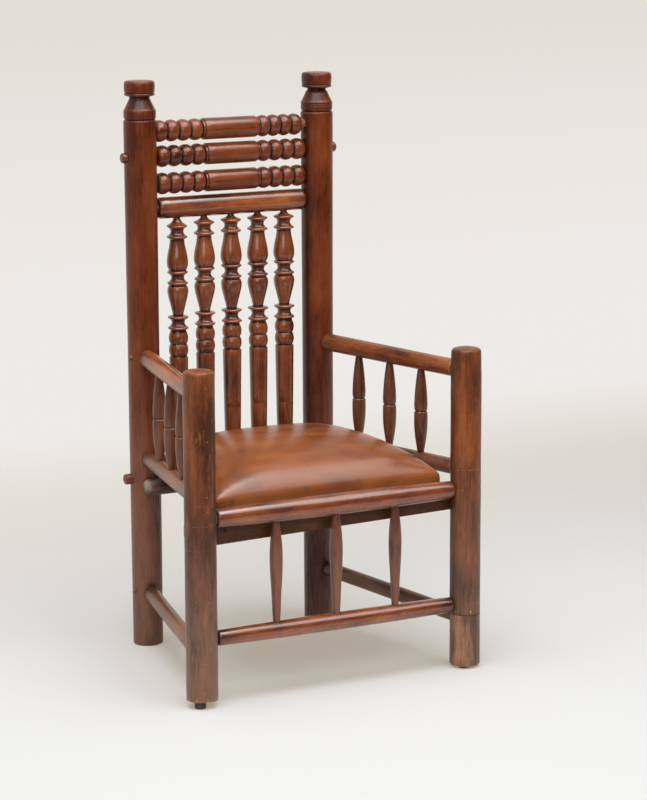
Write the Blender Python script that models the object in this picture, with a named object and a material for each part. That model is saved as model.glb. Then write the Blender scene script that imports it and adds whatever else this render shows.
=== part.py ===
"""A turner's armchair: turned posts, rails and spindles joined by round tenons, and a lift-out leather seat.

Units are metres. +Z is up and the chair faces -Y. The origin is on the floor, under the middle of the chair.
Left and right are as seen from the front, so left is -X.
"""

import math

import bmesh
import bpy
from mathutils import Matrix, Vector

# Fits
FIT = 0.0003                    # gap between pieces that touch
CUTTER_REACH = 0.01             # how far a cutter runs past the surface it opens
TENON_CHAMFER = 0.0015

# Posts
FRONT_SPREAD = 0.5885           # between the centre lines of the front posts
REAR_SPREAD = 0.4034            # between the centre lines of the rear posts
POST_DEPTH = 0.4621             # front centre line to rear centre line
FRONT_POST_R = 0.031
FRONT_POST_ABOVE_ARM = 0.048    # arm's centre line to the post's top
FRONT_POST_ROUNDING = 0.006
FRONT_POST_FOOT_BEVEL = 0.0015
REAR_POST_FOOT_R = 0.0312
REAR_POST_TOP_R = 0.033
REAR_POST_H = 1.0932            # floor to the groove under the finial
REAR_POST_FOOT_ROUNDING = 0.005

# Finials of the rear posts, from the groove up
FINIAL_GROOVE_H = 0.004
FINIAL_GROOVE_DEPTH = 0.0028
FINIAL_BARREL_H = 0.018
FINIAL_CONE_H = 0.0255
FINIAL_NECK_R = 0.0205
FINIAL_NECK_H = 0.003
FINIAL_RING_R = 0.0314
FINIAL_RING_H = 0.007
FINIAL_CAP_R = 0.0317
FINIAL_CAP_H = 0.0207
FINIAL_CAP_ROUNDING = 0.006

# Front feet
LEFT_GLIDE_H = 0.0125
RIGHT_GLIDE_H = 0.0045
GLIDE_R = 0.011
GLIDE_STEM_R = 0.0025
GLIDE_STEM_L = 0.014
SPIGOT_R = 0.010                # round spigot of the spliced foot
SPIGOT_L = 0.035
FOOT_NAIL_R = 0.0013
FOOT_NAIL_HEAD_R = 0.0026
FOOT_NAIL_HEAD_T = 0.001
FOOT_NAIL_ABOVE_SPLICE = 0.007
PLUG_R = 0.0145
PLUG_L = 0.012
PLUG_BELOW_RAIL = 0.0197        # front seat rail's centre line down to the plug's

# Heights of centre lines
SEAT_BEARING_Z = 0.361          # where the seat lies on its bearers
ARM_Z = 0.610
FRONT_RAIL_LIFT = 0.0087        # front seat rail above the bearing height
REAR_RAIL_DROP = 0.006          # rear seat rail below the bearing height
SIDE_RAIL_FRONT_LIFT = 0.0315   # underside of the side seat rail above the bearing height, at the front post
SIDE_RAIL_REAR_LIFT = 0.0235    # and at the rear post
SIDE_STRETCHER_FRONT_Z = 0.1005
SIDE_STRETCHER_REAR_Z = 0.1175
SPLICE_ABOVE_STRETCHER = 0.012  # side stretcher's centre line up to the splice of the right foot
FRONT_STRETCHER_ABOVE_SPLICE = 0.0197

# Radii of rails
CREST_R = 0.0222
CREST_VALLEY_R = 0.0186
SPINDLE_RAIL_R = 0.0222
REAR_RAIL_R = 0.019
ARM_REAR_R = 0.01825
ARM_FRONT_R = 0.01625
SIDE_RAIL_R = 0.016
FRONT_RAIL_R = 0.0188
FRONT_STRETCHER_R = 0.015
SIDE_STRETCHER_R = 0.0155
SHOULDER_ROUNDING = 0.0045

# Crest rails
CREST_TOP_DROP = 0.001          # finial's groove down to the top rail's upper side
CREST_GAP_UPPER = 0.0069        # between the top and middle crest rails
CREST_GAP_LOWER = 0.0113        # between the middle and lower crest rails
SPINDLE_RAIL_GAP = 0.0058       # between the lower crest rail and the spindle rail
BEADS_PER_RUN = 4
BEAD_L = 0.0265
FILLET_L = 0.005
FILLET_R = 0.0198
FILLET_STEP = 0.0003

# Tenons in the posts
TENON_R = 0.0095
TENON_L = 0.018
PINNED_TENON_L = 0.036
STRETCHER_TENON_R = 0.009
FRONT_RAIL_TENON_R = 0.013
CREST_KNOB_PROUD = 0.006        # end of the middle crest rail outside its post
REAR_RAIL_TENON_R = 0.011
REAR_RAIL_KNOB_PROUD = 0.016
PIN_R = 0.0045
PIN_PROUD = 0.003
PIN_TO_TENON_END = 0.0125
PIN_PAST_TENON = 0.004

# Back spindles, from the underside of the spindle rail down
BACK_SPINDLE_PITCH = 0.0613
BACK_SPINDLE_LIFT = (-0.004, 0.0, 0.0015, 0.0015, 0.001)    # each was turned a little differently
BACK_TENON_R = 0.0055
BACK_FOOT_TENON_R = 0.0075
BACK_TENON_L = 0.014
BACK_TOP_R = 0.0068
BACK_TOP_TAPER_L = 0.0126
COLLAR_R = 0.0215
COLLAR_T = 0.003
COLLAR_PITCH = 0.0227           # between the two collars of a pair
COVE_R = 0.0138
VASE_L = 0.0727                 # lower collar of one pair to the upper collar of the next
VASE_NECK_R = 0.0152
VASE_R = 0.0222
INVERTED_VASE_L = 0.0708
INVERTED_VASE_R = 0.0216
INVERTED_NECK_R = 0.0114
SPINDLE_GROOVE_R = 0.018
BEADS_BELOW_COLLAR = 0.0086
SPINDLE_BEAD_L = 0.0248
SPINDLE_BEAD_R = 0.0203
SHAFT_TOP_R = 0.0197
SHAFT_LOW_R = 0.0168
SHAFT_FOOT_R = 0.0115
SHAFT_FOOT_TAPER_L = 0.045

# Arm spindles
ARM_SPINDLE_COUNT = 3
ARM_SPINDLE_PITCH = 0.0985
ARM_SPINDLE_END_R = 0.0072
ARM_SPINDLE_R = 0.0124
ARM_SPINDLE_GROOVE_R = 0.0108
ARM_SPINDLE_GROOVE_W = 0.004
SMALL_TENON_R = 0.005
SMALL_TENON_L = 0.011

# Front spindles
FRONT_SPINDLE_COUNT = 3
FRONT_SPINDLE_PITCH = 0.1323
FRONT_SPINDLE_TOP_R = 0.0073
FRONT_SPINDLE_R = 0.01235
FRONT_SPINDLE_FOOT_R = 0.0068
FRONT_SPINDLE_TOP_L = 0.063     # front seat rail's underside to the thickest place

# Bearers under the seat
BEARER_R = 0.0175
BEARER_LET_IN = 0.004           # how deep the bar is notched round the rear posts
BEARER_OVERHANG = 0.0225        # rear post's centre line to the end of the bar
BEARER_END_CHAMFER = 0.006
BOARD_T = 0.020
BOARD_LEFT_H = 0.050
BOARD_RIGHT_H = 0.036
BOARD_BEHIND_POST = 0.0255      # how far the board's end reaches behind the post
BOARD_SCREW_IN = 0.0135         # front post's centre line to the board's screw
SCREW_R = 0.002
SCREW_HEAD_R = 0.004
SCREW_HEAD_T = 0.0025
SCREW_BITE = 0.012

# Slip seat
SEAT_RAIL_CLEARANCE = 0.004     # leather to the front seat rail
SEAT_FRONT_POST_CLEARANCE = 0.013
SEAT_REAR_POST_CLEARANCE = 0.003
SEAT_SIDE_CLEARANCE = 0.006     # leather to the thickest bar above its side
LEATHER_T = 0.002
LEATHER_TURN_UNDER = 0.014
LEATHER_EDGE_H = 0.035          # bearing height to the edge where the crown starts
CROWN_H = 0.0735
CROWN_ACROSS_POWER = 4.3
CROWN_DEEP_POWER = 3.2
CROWN_FULLNESS = 0.46
FRAME_W = 0.045
FRAME_T = 0.022
FRAME_CORNER_CUT = 0.009
WEB_COUNT = 3                   # strips each way
WEB_W = 0.050
WEB_T = 0.0016
WEB_PITCH = 0.085
WEB_END_MARGIN = 0.010

# How finely round pieces are divided
POST_SEGMENTS = 16
RAIL_SEGMENTS = 12
BALUSTER_SEGMENTS = 10
SPINDLE_SEGMENTS = 8
SMALL_SEGMENTS = 8
LEATHER_CELLS_ACROSS = 16
LEATHER_CELLS_DEEP = 14
MERGE = 0.00001

# Colours, roughness and metal
FINISHES = {
    "dark_wood": ((0.105, 0.030, 0.014), 0.38, 0.0),
    "worn_wood": ((0.130, 0.040, 0.018), 0.45, 0.0),
    "foot_wood": ((0.150, 0.070, 0.036), 0.55, 0.0),
    "plain_wood": ((0.300, 0.190, 0.100), 0.65, 0.0),
    "leather": ((0.300, 0.095, 0.030), 0.42, 0.0),
    "webbing": ((0.420, 0.310, 0.190), 0.90, 0.0),
    "glide": ((0.030, 0.027, 0.025), 0.50, 0.0),
    "nail": ((0.500, 0.330, 0.120), 0.45, 1.0),
    "screw": ((0.090, 0.080, 0.075), 0.55, 0.9),
}

# Places worked out from the sizes above
FRONT_Y = -(POST_DEPTH + REAR_POST_TOP_R - FRONT_POST_R) / 2
REAR_Y = FRONT_Y + POST_DEPTH
FRONT_RAIL_Z = SEAT_BEARING_Z + FRONT_RAIL_LIFT
REAR_RAIL_Z = SEAT_BEARING_Z - REAR_RAIL_DROP
SIDE_RAIL_FRONT_Z = SEAT_BEARING_Z + SIDE_RAIL_FRONT_LIFT + SIDE_RAIL_R
SIDE_RAIL_REAR_Z = SEAT_BEARING_Z + SIDE_RAIL_REAR_LIFT + SIDE_RAIL_R
SPLICE_Z = SIDE_STRETCHER_FRONT_Z + SPLICE_ABOVE_STRETCHER
FRONT_STRETCHER_Z = SPLICE_Z + FRONT_STRETCHER_ABOVE_SPLICE
CREST_TOP_Z = REAR_POST_H - CREST_TOP_DROP - CREST_R
CREST_MIDDLE_Z = CREST_TOP_Z - 2 * CREST_R - CREST_GAP_UPPER
CREST_LOWER_Z = CREST_MIDDLE_Z - 2 * CREST_R - CREST_GAP_LOWER
SPINDLE_RAIL_Z = CREST_LOWER_Z - CREST_R - SPINDLE_RAIL_GAP - SPINDLE_RAIL_R
BEARER_Z = SEAT_BEARING_Z - BEARER_R

SIDES = (("left", -1), ("right", 1))
bores = {}                      # holes still to be cut: name of the piece to outlines, segments and frames


def front_post_point(side, height):
    return Vector((side * FRONT_SPREAD / 2, FRONT_Y, height))


def rear_post_point(side, height):
    return Vector((side * REAR_SPREAD / 2, REAR_Y, height))


def rear_post_radius(height):
    return REAR_POST_FOOT_R + (REAR_POST_TOP_R - REAR_POST_FOOT_R) * height / REAR_POST_H


def aimed(start, end, segments=None):
    """Matrix with its origin at start and its Z axis towards end.

    A bar of so many segments is turned by half a segment, which puts a flat on top of it.
    """
    turn = (end - start).to_track_quat("Z", "Y").to_matrix().to_4x4()
    roll = Matrix() if segments is None else Matrix.Rotation(math.pi / segments, 4, "Z")
    return Matrix.Translation(start) @ turn @ roll


def new_material(name, finish):
    colour, roughness, metallic = FINISHES[finish]
    material = bpy.data.materials.new(name + "_finish")
    material.use_nodes = True
    shader = material.node_tree.nodes["Principled BSDF"]
    shader.inputs["Base Color"].default_value = (*colour, 1.0)
    shader.inputs["Roughness"].default_value = roughness
    shader.inputs["Metallic"].default_value = metallic
    return material


def new_piece(name, bm, finish, frame=None):
    """Makes a named object of a bmesh, placed by a matrix, with its own material."""
    bmesh.ops.recalc_face_normals(bm, faces=bm.faces)
    mesh = bpy.data.meshes.new(name)
    bm.to_mesh(mesh)
    bm.free()
    mesh.shade_smooth()
    mesh.set_sharp_from_angle(angle=math.radians(35))
    mesh.materials.append(new_material(name, finish))
    piece = bpy.data.objects.new(name, mesh)
    bpy.context.scene.collection.objects.link(piece)
    if frame is not None:
        piece.location = frame.to_translation()
        piece.rotation_mode = "QUATERNION"
        piece.rotation_quaternion = frame.to_quaternion()
    return piece


def add_turning(bm, outline, segments, frame=Matrix()):
    """Adds a closed solid of revolution: outline is a list of (height, radius) along the frame's Z axis."""
    points = [(outline[0][0], 0.0)] + outline + [(outline[-1][0], 0.0)]
    verts = [bm.verts.new((radius, 0.0, height)) for height, radius in points]
    edges = [bm.edges.new(pair) for pair in zip(verts, verts[1:])]
    old = set(bm.verts) - set(verts)
    bmesh.ops.spin(bm, geom=verts + edges, cent=(0, 0, 0), axis=(0, 0, 1), angle=math.tau,
                   steps=segments, use_merge=True)
    made = [vert for vert in bm.verts if vert not in old]
    bmesh.ops.remove_doubles(bm, verts=made, dist=MERGE)
    made = [vert for vert in bm.verts if vert not in old]
    bmesh.ops.transform(bm, matrix=frame, verts=made)


def turned_piece(name, outline, segments, finish, frame):
    bm = bmesh.new()
    add_turning(bm, outline, segments)
    return new_piece(name, bm, finish, frame)


def add_prism(bm, corners, low, high):
    """Adds an upright prism over a list of (x, y) corners."""
    face = bm.faces.new([bm.verts.new((x, y, low)) for x, y in corners])
    lid = bmesh.ops.extrude_face_region(bm, geom=[face])["geom"]
    raised = [item for item in lid if isinstance(item, bmesh.types.BMVert)]
    bmesh.ops.translate(bm, verts=raised, vec=(0, 0, high - low))


def bore(piece_name, frame, low, high, radius, segments):
    """Notes a round hole to be cut in a piece, along the frame's Z axis."""
    cylinder = [(low, radius), (high, radius)]
    bores.setdefault(piece_name, []).append((cylinder, segments, frame))


def cut_bores():
    """Cuts each piece's holes with one Boolean."""
    for name, holes in bores.items():
        bm = bmesh.new()
        for cylinder, segments, frame in holes:
            add_turning(bm, cylinder, segments, frame)
        cut_with(bpy.data.objects[name], bm, name + "_bores")


def cut_with(piece, bm, name):
    """Takes the shape in a bmesh out of a piece."""
    bmesh.ops.recalc_face_normals(bm, faces=bm.faces)
    mesh = bpy.data.meshes.new(name)
    bm.to_mesh(mesh)
    bm.free()
    cutter = bpy.data.objects.new(name, mesh)
    bpy.context.scene.collection.objects.link(cutter)
    cutter.parent = piece.parent
    cutter.hide_render = True
    cutter.display_type = "WIRE"
    modifier = piece.modifiers.new(name, "BOOLEAN")
    modifier.operation = "DIFFERENCE"
    modifier.solver = "EXACT"
    modifier.use_self = True
    modifier.object = cutter


def rounded_end(height, radius, rounding, inward, steps=3):
    """Quarter round at an end: inward is 1 where the piece lies above the height and -1 where it lies below."""
    points = []
    for step in range(steps + 1):
        angle = math.pi / 2 * step / steps
        points.append((height + inward * rounding * (1 - math.cos(angle)),
                       radius - rounding * (1 - math.sin(angle))))
    return points if inward > 0 else points[::-1]


def plain_body(low_radius, high_radius):
    """A straight or tapering bar with rounded shoulders."""
    def body(low, high):
        return (rounded_end(low, low_radius, SHOULDER_ROUNDING, 1, 2)
                + rounded_end(high, high_radius, SHOULDER_ROUNDING, -1, 2))
    return body


def bead_points(low, length, valley, radius):
    """Outline of one bead, without the valley that ends it."""
    slope = length / 4
    return [(low, valley), (low + slope, radius), (low + length - slope, radius)]


def beaded_body(low, high):
    """Runs of beads at both ends of a plain cylinder, with a fillet between."""
    run = BEADS_PER_RUN * BEAD_L
    outline = []
    for bead in range(BEADS_PER_RUN):
        outline += bead_points(low + bead * BEAD_L, BEAD_L, CREST_VALLEY_R, CREST_R)
    outline += [(low + run, CREST_VALLEY_R), (low + run + FILLET_L, FILLET_R)]
    outline += [(low + run + FILLET_L + FILLET_STEP, CREST_R)]
    outline += [(high - point, radius) for point, radius in
                ((at - low, radius) for at, radius in reversed(outline))]
    return outline


def add_rail(name, start, end, posts, post_radii, body, tenon_radius, tenons, segments, finish):
    """A rail between the centre lines of two posts, with a round tenon in each.

    tenons holds the two lengths, counted from the posts' surfaces. One longer than the post is thick goes
    right through it.
    """
    frame = aimed(start, end, segments)
    length = (end - start).length
    low = post_radii[0] + FIT
    high = length - post_radii[1] - FIT
    low_tip = low - tenons[0]
    high_tip = high + tenons[1]
    outline = [(low_tip, tenon_radius - TENON_CHAMFER), (low_tip + TENON_CHAMFER, tenon_radius),
               (low, tenon_radius)]
    outline += body(low, high)
    outline += [(high, tenon_radius), (high_tip - TENON_CHAMFER, tenon_radius),
                (high_tip, tenon_radius - TENON_CHAMFER)]
    for post, tip, shoulder, centre, radius, way in (
        (posts[0], low_tip, low, 0.0, post_radii[0], 1),
        (posts[1], high_tip, high, length, post_radii[1], -1),
    ):
        through = (centre - tip) * way > radius
        inner = centre - way * (radius + CUTTER_REACH) if through else tip - way * FIT
        bottom, mouth = sorted((inner, shoulder + way * CUTTER_REACH))
        bore(post, frame, bottom, mouth, tenon_radius + FIT, segments)
    return turned_piece(name, outline, segments, finish, frame)


def add_spindle(name, foot, top, rails, rail_radii, body, tenon_radii, tenon_length, segments, finish):
    """An upright spindle between the centre lines of two rails, with a round tenon in each."""
    frame = aimed(foot, top)
    length = (top - foot).length
    low = rail_radii[0] + FIT
    high = length - rail_radii[1] - FIT
    outline = [(low - tenon_length, tenon_radii[0]), (low, tenon_radii[0])]
    outline += body(low, high)
    outline += [(high, tenon_radii[1]), (high + tenon_length, tenon_radii[1])]
    bore(rails[0], frame, low - tenon_length - FIT, low + CUTTER_REACH, tenon_radii[0] + FIT, segments)
    bore(rails[1], frame, high - CUTTER_REACH, high + tenon_length + FIT, tenon_radii[1] + FIT, segments)
    return turned_piece(name, outline, segments, finish, frame)


# Rear posts with their finials
def rear_post(name, side):
    base = REAR_POST_H
    barrel = base + FINIAL_GROOVE_H
    cone = barrel + FINIAL_BARREL_H
    neck = cone + FINIAL_CONE_H
    ring = neck + FINIAL_NECK_H
    cap = ring + FINIAL_RING_H
    top = cap + FINIAL_CAP_H
    groove_radius = REAR_POST_TOP_R - FINIAL_GROOVE_DEPTH
    outline = rounded_end(0.0, REAR_POST_FOOT_R, REAR_POST_FOOT_ROUNDING, 1, 2)
    outline += [(base, REAR_POST_TOP_R), (base + FINIAL_GROOVE_H / 2, groove_radius), (barrel, REAR_POST_TOP_R)]
    outline += [(cone, REAR_POST_TOP_R), (neck, FINIAL_NECK_R), (ring, FINIAL_NECK_R)]
    outline += [(ring + FINIAL_NECK_H / 2, FINIAL_RING_R), (cap - FINIAL_NECK_H / 2, FINIAL_RING_R)]
    outline += [(cap, FINIAL_CAP_R - FINIAL_GROOVE_DEPTH), (cap + FINIAL_NECK_H / 2, FINIAL_CAP_R)]
    outline += rounded_end(top, FINIAL_CAP_R, FINIAL_CAP_ROUNDING, -1, 3)
    turned_piece(name, outline, POST_SEGMENTS, "dark_wood", Matrix.Translation(rear_post_point(side, 0.0)))


# Front posts, the spliced foot and the glides
def front_post(name, side, foot_z):
    top = ARM_Z + FRONT_POST_ABOVE_ARM
    outline = [(foot_z, FRONT_POST_R - FRONT_POST_FOOT_BEVEL), (foot_z + FRONT_POST_FOOT_BEVEL, FRONT_POST_R)]
    outline += rounded_end(top, FRONT_POST_R, FRONT_POST_ROUNDING, -1, 3)
    turned_piece(name, outline, POST_SEGMENTS, "worn_wood", Matrix.Translation(front_post_point(side, 0.0)))


def spliced_foot():
    top = SPLICE_Z - FIT
    outline = [(RIGHT_GLIDE_H, FRONT_POST_R - FRONT_POST_FOOT_BEVEL),
               (RIGHT_GLIDE_H + FRONT_POST_FOOT_BEVEL, FRONT_POST_R), (top, FRONT_POST_R),
               (top, SPIGOT_R), (SPLICE_Z + SPIGOT_L, SPIGOT_R)]
    frame = Matrix.Translation(front_post_point(1, 0.0))
    turned_piece("front_right_foot", outline, POST_SEGMENTS, "foot_wood", frame)
    bore("front_post_right", frame, SPLICE_Z - CUTTER_REACH, SPLICE_Z + SPIGOT_L + FIT, SPIGOT_R + FIT, POST_SEGMENTS)


def foot_nail():
    height = SPLICE_Z + FOOT_NAIL_ABOVE_SPLICE
    centre = front_post_point(1, height)
    frame = aimed(centre, centre + Vector((0.0, -1.0, 0.0)))
    head = FRONT_POST_R - FOOT_NAIL_HEAD_T
    outline = [(0.0, FOOT_NAIL_R), (head, FOOT_NAIL_R), (head, FOOT_NAIL_HEAD_R), (FRONT_POST_R, FOOT_NAIL_HEAD_R)]
    turned_piece("foot_nail", outline, SMALL_SEGMENTS, "nail", frame)
    hole = [(-FIT, FOOT_NAIL_R + FIT), (head - FIT, FOOT_NAIL_R + FIT), (head - FIT, FOOT_NAIL_HEAD_R + FIT),
            (head + CUTTER_REACH, FOOT_NAIL_HEAD_R + FIT)]
    for receiver in ("front_post_right", "front_right_foot"):
        bores.setdefault(receiver, []).append((hole, SMALL_SEGMENTS, frame))


def glide(name, side, height, foot):
    frame = Matrix.Translation(front_post_point(side, 0.0))
    top = height - FIT
    outline = [(0.0, GLIDE_R), (top, GLIDE_R), (top, GLIDE_STEM_R), (height + GLIDE_STEM_L, GLIDE_STEM_R)]
    turned_piece(name, outline, SPINDLE_SEGMENTS, "glide", frame)
    bore(foot, frame, height - CUTTER_REACH, height + GLIDE_STEM_L + FIT, GLIDE_STEM_R + FIT, SPINDLE_SEGMENTS)


def mortise_plug():
    centre = front_post_point(-1, FRONT_RAIL_Z - PLUG_BELOW_RAIL)
    frame = aimed(centre, centre + Vector((-1.0, 0.0, 0.0)))
    face = FRONT_POST_R
    inner = face - PLUG_L
    outline = [(inner, PLUG_R), (face - TENON_CHAMFER, PLUG_R), (face, PLUG_R - TENON_CHAMFER)]
    turned_piece("mortise_plug", outline, RAIL_SEGMENTS, "dark_wood", frame)
    bore("front_post_left", frame, inner - FIT, face + CUTTER_REACH, PLUG_R + FIT, RAIL_SEGMENTS)


# Rails across the back
def back_rail(name, height, body, tenon_radius, proud):
    """A rail between the rear posts: proud is how far its tenons stand out, or None where they stop inside."""
    radius = rear_post_radius(height)
    tenon = TENON_L if proud is None else 2 * radius + proud
    add_rail(name, rear_post_point(-1, height), rear_post_point(1, height),
             ("rear_post_left", "rear_post_right"), (radius, radius), body, tenon_radius,
             (tenon, tenon), RAIL_SEGMENTS, "dark_wood")


# Back spindles
def collar_pair(start):
    """Two thin collars with a cove between, as drops from the top and radii."""
    half = COLLAR_T / 2
    end = start + COLLAR_PITCH
    return [(start - half, COLLAR_R), (start + half, COLLAR_R), (start + 2 * COLLAR_T, COVE_R),
            (end - 2 * COLLAR_T, COVE_R), (end - half, COLLAR_R), (end + half, COLLAR_R)]


def back_spindle_body(lift):
    """Outline of a back spindle: the turned pattern hangs from the top, the plain shaft takes up the rest."""
    def body(low, high):
        first = BACK_TOP_TAPER_L - lift
        vase = first + COLLAR_PITCH
        second = vase + VASE_L
        inverted = second + COLLAR_PITCH
        third = inverted + INVERTED_VASE_L
        beads = third + COLLAR_PITCH + BEADS_BELOW_COLLAR
        shaft = beads + 2 * SPINDLE_BEAD_L
        drops = [(0.0, BACK_TOP_R)] + collar_pair(first)
        drops += [(vase + 2 * COLLAR_T, VASE_NECK_R)]
        for share in (0.4, 0.7, 0.9):
            swell = math.sin(math.pi / 2 * min(share / 0.75, 1.0)) ** 2 - max(share - 0.75, 0.0)
            drops.append((vase + share * VASE_L, VASE_NECK_R + (VASE_R - VASE_NECK_R) * swell))
        drops += collar_pair(second)
        drops += [(inverted + 2 * COLLAR_T, SPINDLE_GROOVE_R)]
        for share in (0.12, 0.25, 0.5, 0.75, 0.95):
            fall = max(share - 0.25, 0.0) / 0.65
            swell = math.cos(math.pi / 2 * min(fall, 1.0)) ** 1.3 - max(0.25 - share, 0.0)
            drops.append((inverted + share * INVERTED_VASE_L,
                          INVERTED_NECK_R + (INVERTED_VASE_R - INVERTED_NECK_R) * swell))
        drops += collar_pair(third)
        for bead in range(2):
            drops += bead_points(beads + bead * SPINDLE_BEAD_L, SPINDLE_BEAD_L, SPINDLE_GROOVE_R, SPINDLE_BEAD_R)
        drops += [(shaft, SPINDLE_GROOVE_R), (shaft + COLLAR_T, SHAFT_TOP_R)]
        outline = [(high - drop, radius) for drop, radius in reversed(drops)]
        return [(low, SHAFT_FOOT_R), (low + SHAFT_FOOT_TAPER_L, SHAFT_LOW_R)] + outline
    return body


def back_spindles():
    middle = (len(BACK_SPINDLE_LIFT) - 1) / 2
    for index, lift in enumerate(BACK_SPINDLE_LIFT):
        x = (index - middle) * BACK_SPINDLE_PITCH
        add_spindle(f"back_spindle_{index + 1}", Vector((x, REAR_Y, REAR_RAIL_Z)),
                    Vector((x, REAR_Y, SPINDLE_RAIL_Z)), ("rear_seat_rail", "spindle_rail"),
                    (REAR_RAIL_R, SPINDLE_RAIL_R), back_spindle_body(lift),
                    (BACK_FOOT_TENON_R, BACK_TENON_R), BACK_TENON_L, BALUSTER_SEGMENTS, "dark_wood")


# Arms, side rails and side stretchers
def side_bar(name, side, rear_z, front_z, radii, tenon_radius, rear_tenon, foot_of_front):
    """A bar from a rear post to a front post. Radii are its own at the rear and the front."""
    label = "left" if side < 0 else "right"
    add_rail(name, rear_post_point(side, rear_z), front_post_point(side, front_z),
             ("rear_post_" + label, foot_of_front), (rear_post_radius(rear_z), FRONT_POST_R),
             plain_body(*radii), tenon_radius, (rear_tenon, TENON_L), RAIL_SEGMENTS, "worn_wood")


def side_bars():
    for label, side in SIDES:
        front_foot = "front_post_left" if side < 0 else "front_right_foot"
        side_bar("arm_" + label, side, ARM_Z, ARM_Z, (ARM_REAR_R, ARM_FRONT_R), TENON_R, PINNED_TENON_L,
                 "front_post_" + label)
        side_bar("side_seat_rail_" + label, side, SIDE_RAIL_REAR_Z, SIDE_RAIL_FRONT_Z,
                 (SIDE_RAIL_R, SIDE_RAIL_R), TENON_R, TENON_L, "front_post_" + label)
        side_bar("side_stretcher_" + label, side, SIDE_STRETCHER_REAR_Z, SIDE_STRETCHER_FRONT_Z,
                 (SIDE_STRETCHER_R, SIDE_STRETCHER_R), STRETCHER_TENON_R, PINNED_TENON_L, front_foot)


def locking_pins():
    """Pegs along X through the rear posts, which lock the arms and the side stretchers."""
    for label, side in SIDES:
        for name, bar, height, front_z, tenon in (
            ("arm_pin_", "arm_", ARM_Z, ARM_Z, TENON_R),
            ("stretcher_pin_", "side_stretcher_", SIDE_STRETCHER_REAR_Z, SIDE_STRETCHER_FRONT_Z, STRETCHER_TENON_R),
        ):
            radius = rear_post_radius(height)
            along = (front_post_point(side, front_z) - rear_post_point(side, height)).normalized()
            centre = rear_post_point(side, height) + along * (radius - PINNED_TENON_L + PIN_TO_TENON_END)
            frame = aimed(centre, centre + Vector((side, 0.0, 0.0)))
            tip = radius + PIN_PROUD
            inner = -tenon - PIN_PAST_TENON
            outline = [(inner, PIN_R), (tip - TENON_CHAMFER, PIN_R), (tip, PIN_R - TENON_CHAMFER)]
            turned_piece(name + label, outline, SMALL_SEGMENTS, "worn_wood", frame)
            for receiver in ("rear_post_" + label, bar + label):
                bore(receiver, frame, inner - FIT, tip + CUTTER_REACH, PIN_R + FIT, SMALL_SEGMENTS)


# Arm spindles
def arm_spindle_body(low, high):
    """Swells to a groove at its middle and tapers to both ends."""
    middle = (low + high) / 2
    half = (high - low) / 2
    shares = (0.0, 0.2, 0.45, 0.75)
    swell = [ARM_SPINDLE_END_R + (ARM_SPINDLE_R - ARM_SPINDLE_END_R) * math.sin(math.pi / 2 * share ** 0.8)
             for share in shares]
    lower = [(low + share * half, radius) for share, radius in zip(shares, swell)]
    upper = [(high - share * half, radius) for share, radius in zip(shares, swell)][::-1]
    groove = [(middle - ARM_SPINDLE_GROOVE_W / 2, ARM_SPINDLE_R), (middle, ARM_SPINDLE_GROOVE_R),
              (middle + ARM_SPINDLE_GROOVE_W / 2, ARM_SPINDLE_R)]
    return lower + groove + upper


def arm_spindles():
    for label, side in SIDES:
        rear_arm = rear_post_point(side, ARM_Z)
        front_arm = front_post_point(side, ARM_Z)
        span = (front_arm - rear_arm).length
        for index in range(ARM_SPINDLE_COUNT):
            along = span / 2 + (index - (ARM_SPINDLE_COUNT - 1) / 2) * ARM_SPINDLE_PITCH
            share = along / span
            top = rear_arm.lerp(front_arm, share)
            rail_z = SIDE_RAIL_REAR_Z + (SIDE_RAIL_FRONT_Z - SIDE_RAIL_REAR_Z) * share
            body_share = (along - rear_post_radius(ARM_Z)) / (span - rear_post_radius(ARM_Z) - FRONT_POST_R)
            arm_radius = ARM_REAR_R + (ARM_FRONT_R - ARM_REAR_R) * body_share
            add_spindle(f"arm_spindle_{label}_{index + 1}", Vector((top.x, top.y, rail_z)), top,
                        ("side_seat_rail_" + label, "arm_" + label), (SIDE_RAIL_R, arm_radius),
                        arm_spindle_body, (SMALL_TENON_R, SMALL_TENON_R), SMALL_TENON_L,
                        SPINDLE_SEGMENTS, "worn_wood")


# Front rails and front spindles
def front_rails():
    for name, height, radius, tenon_radius in (
        ("front_seat_rail", FRONT_RAIL_Z, FRONT_RAIL_R, FRONT_RAIL_TENON_R),
        ("front_stretcher", FRONT_STRETCHER_Z, FRONT_STRETCHER_R, STRETCHER_TENON_R),
    ):
        add_rail(name, front_post_point(-1, height), front_post_point(1, height),
                 ("front_post_left", "front_post_right"), (FRONT_POST_R, FRONT_POST_R),
                 plain_body(radius, radius), tenon_radius, (TENON_L, TENON_L), RAIL_SEGMENTS, "dark_wood")


def front_spindle_body(low, high):
    """Thickest near the top, with a long taper below."""
    thickest = high - FRONT_SPINDLE_TOP_L
    outline = []
    for share in (0.0, 0.2, 0.4, 0.6, 0.8):
        swell = math.sin(math.pi / 2 * share) ** 1.5
        outline.append((low + share * (thickest - low),
                        FRONT_SPINDLE_FOOT_R + (FRONT_SPINDLE_R - FRONT_SPINDLE_FOOT_R) * swell))
    for share in (0.0, 0.4, 0.75, 1.0):
        swell = math.cos(math.pi / 2 * share)
        outline.append((thickest + share * FRONT_SPINDLE_TOP_L,
                        FRONT_SPINDLE_TOP_R + (FRONT_SPINDLE_R - FRONT_SPINDLE_TOP_R) * swell))
    return outline


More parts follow.
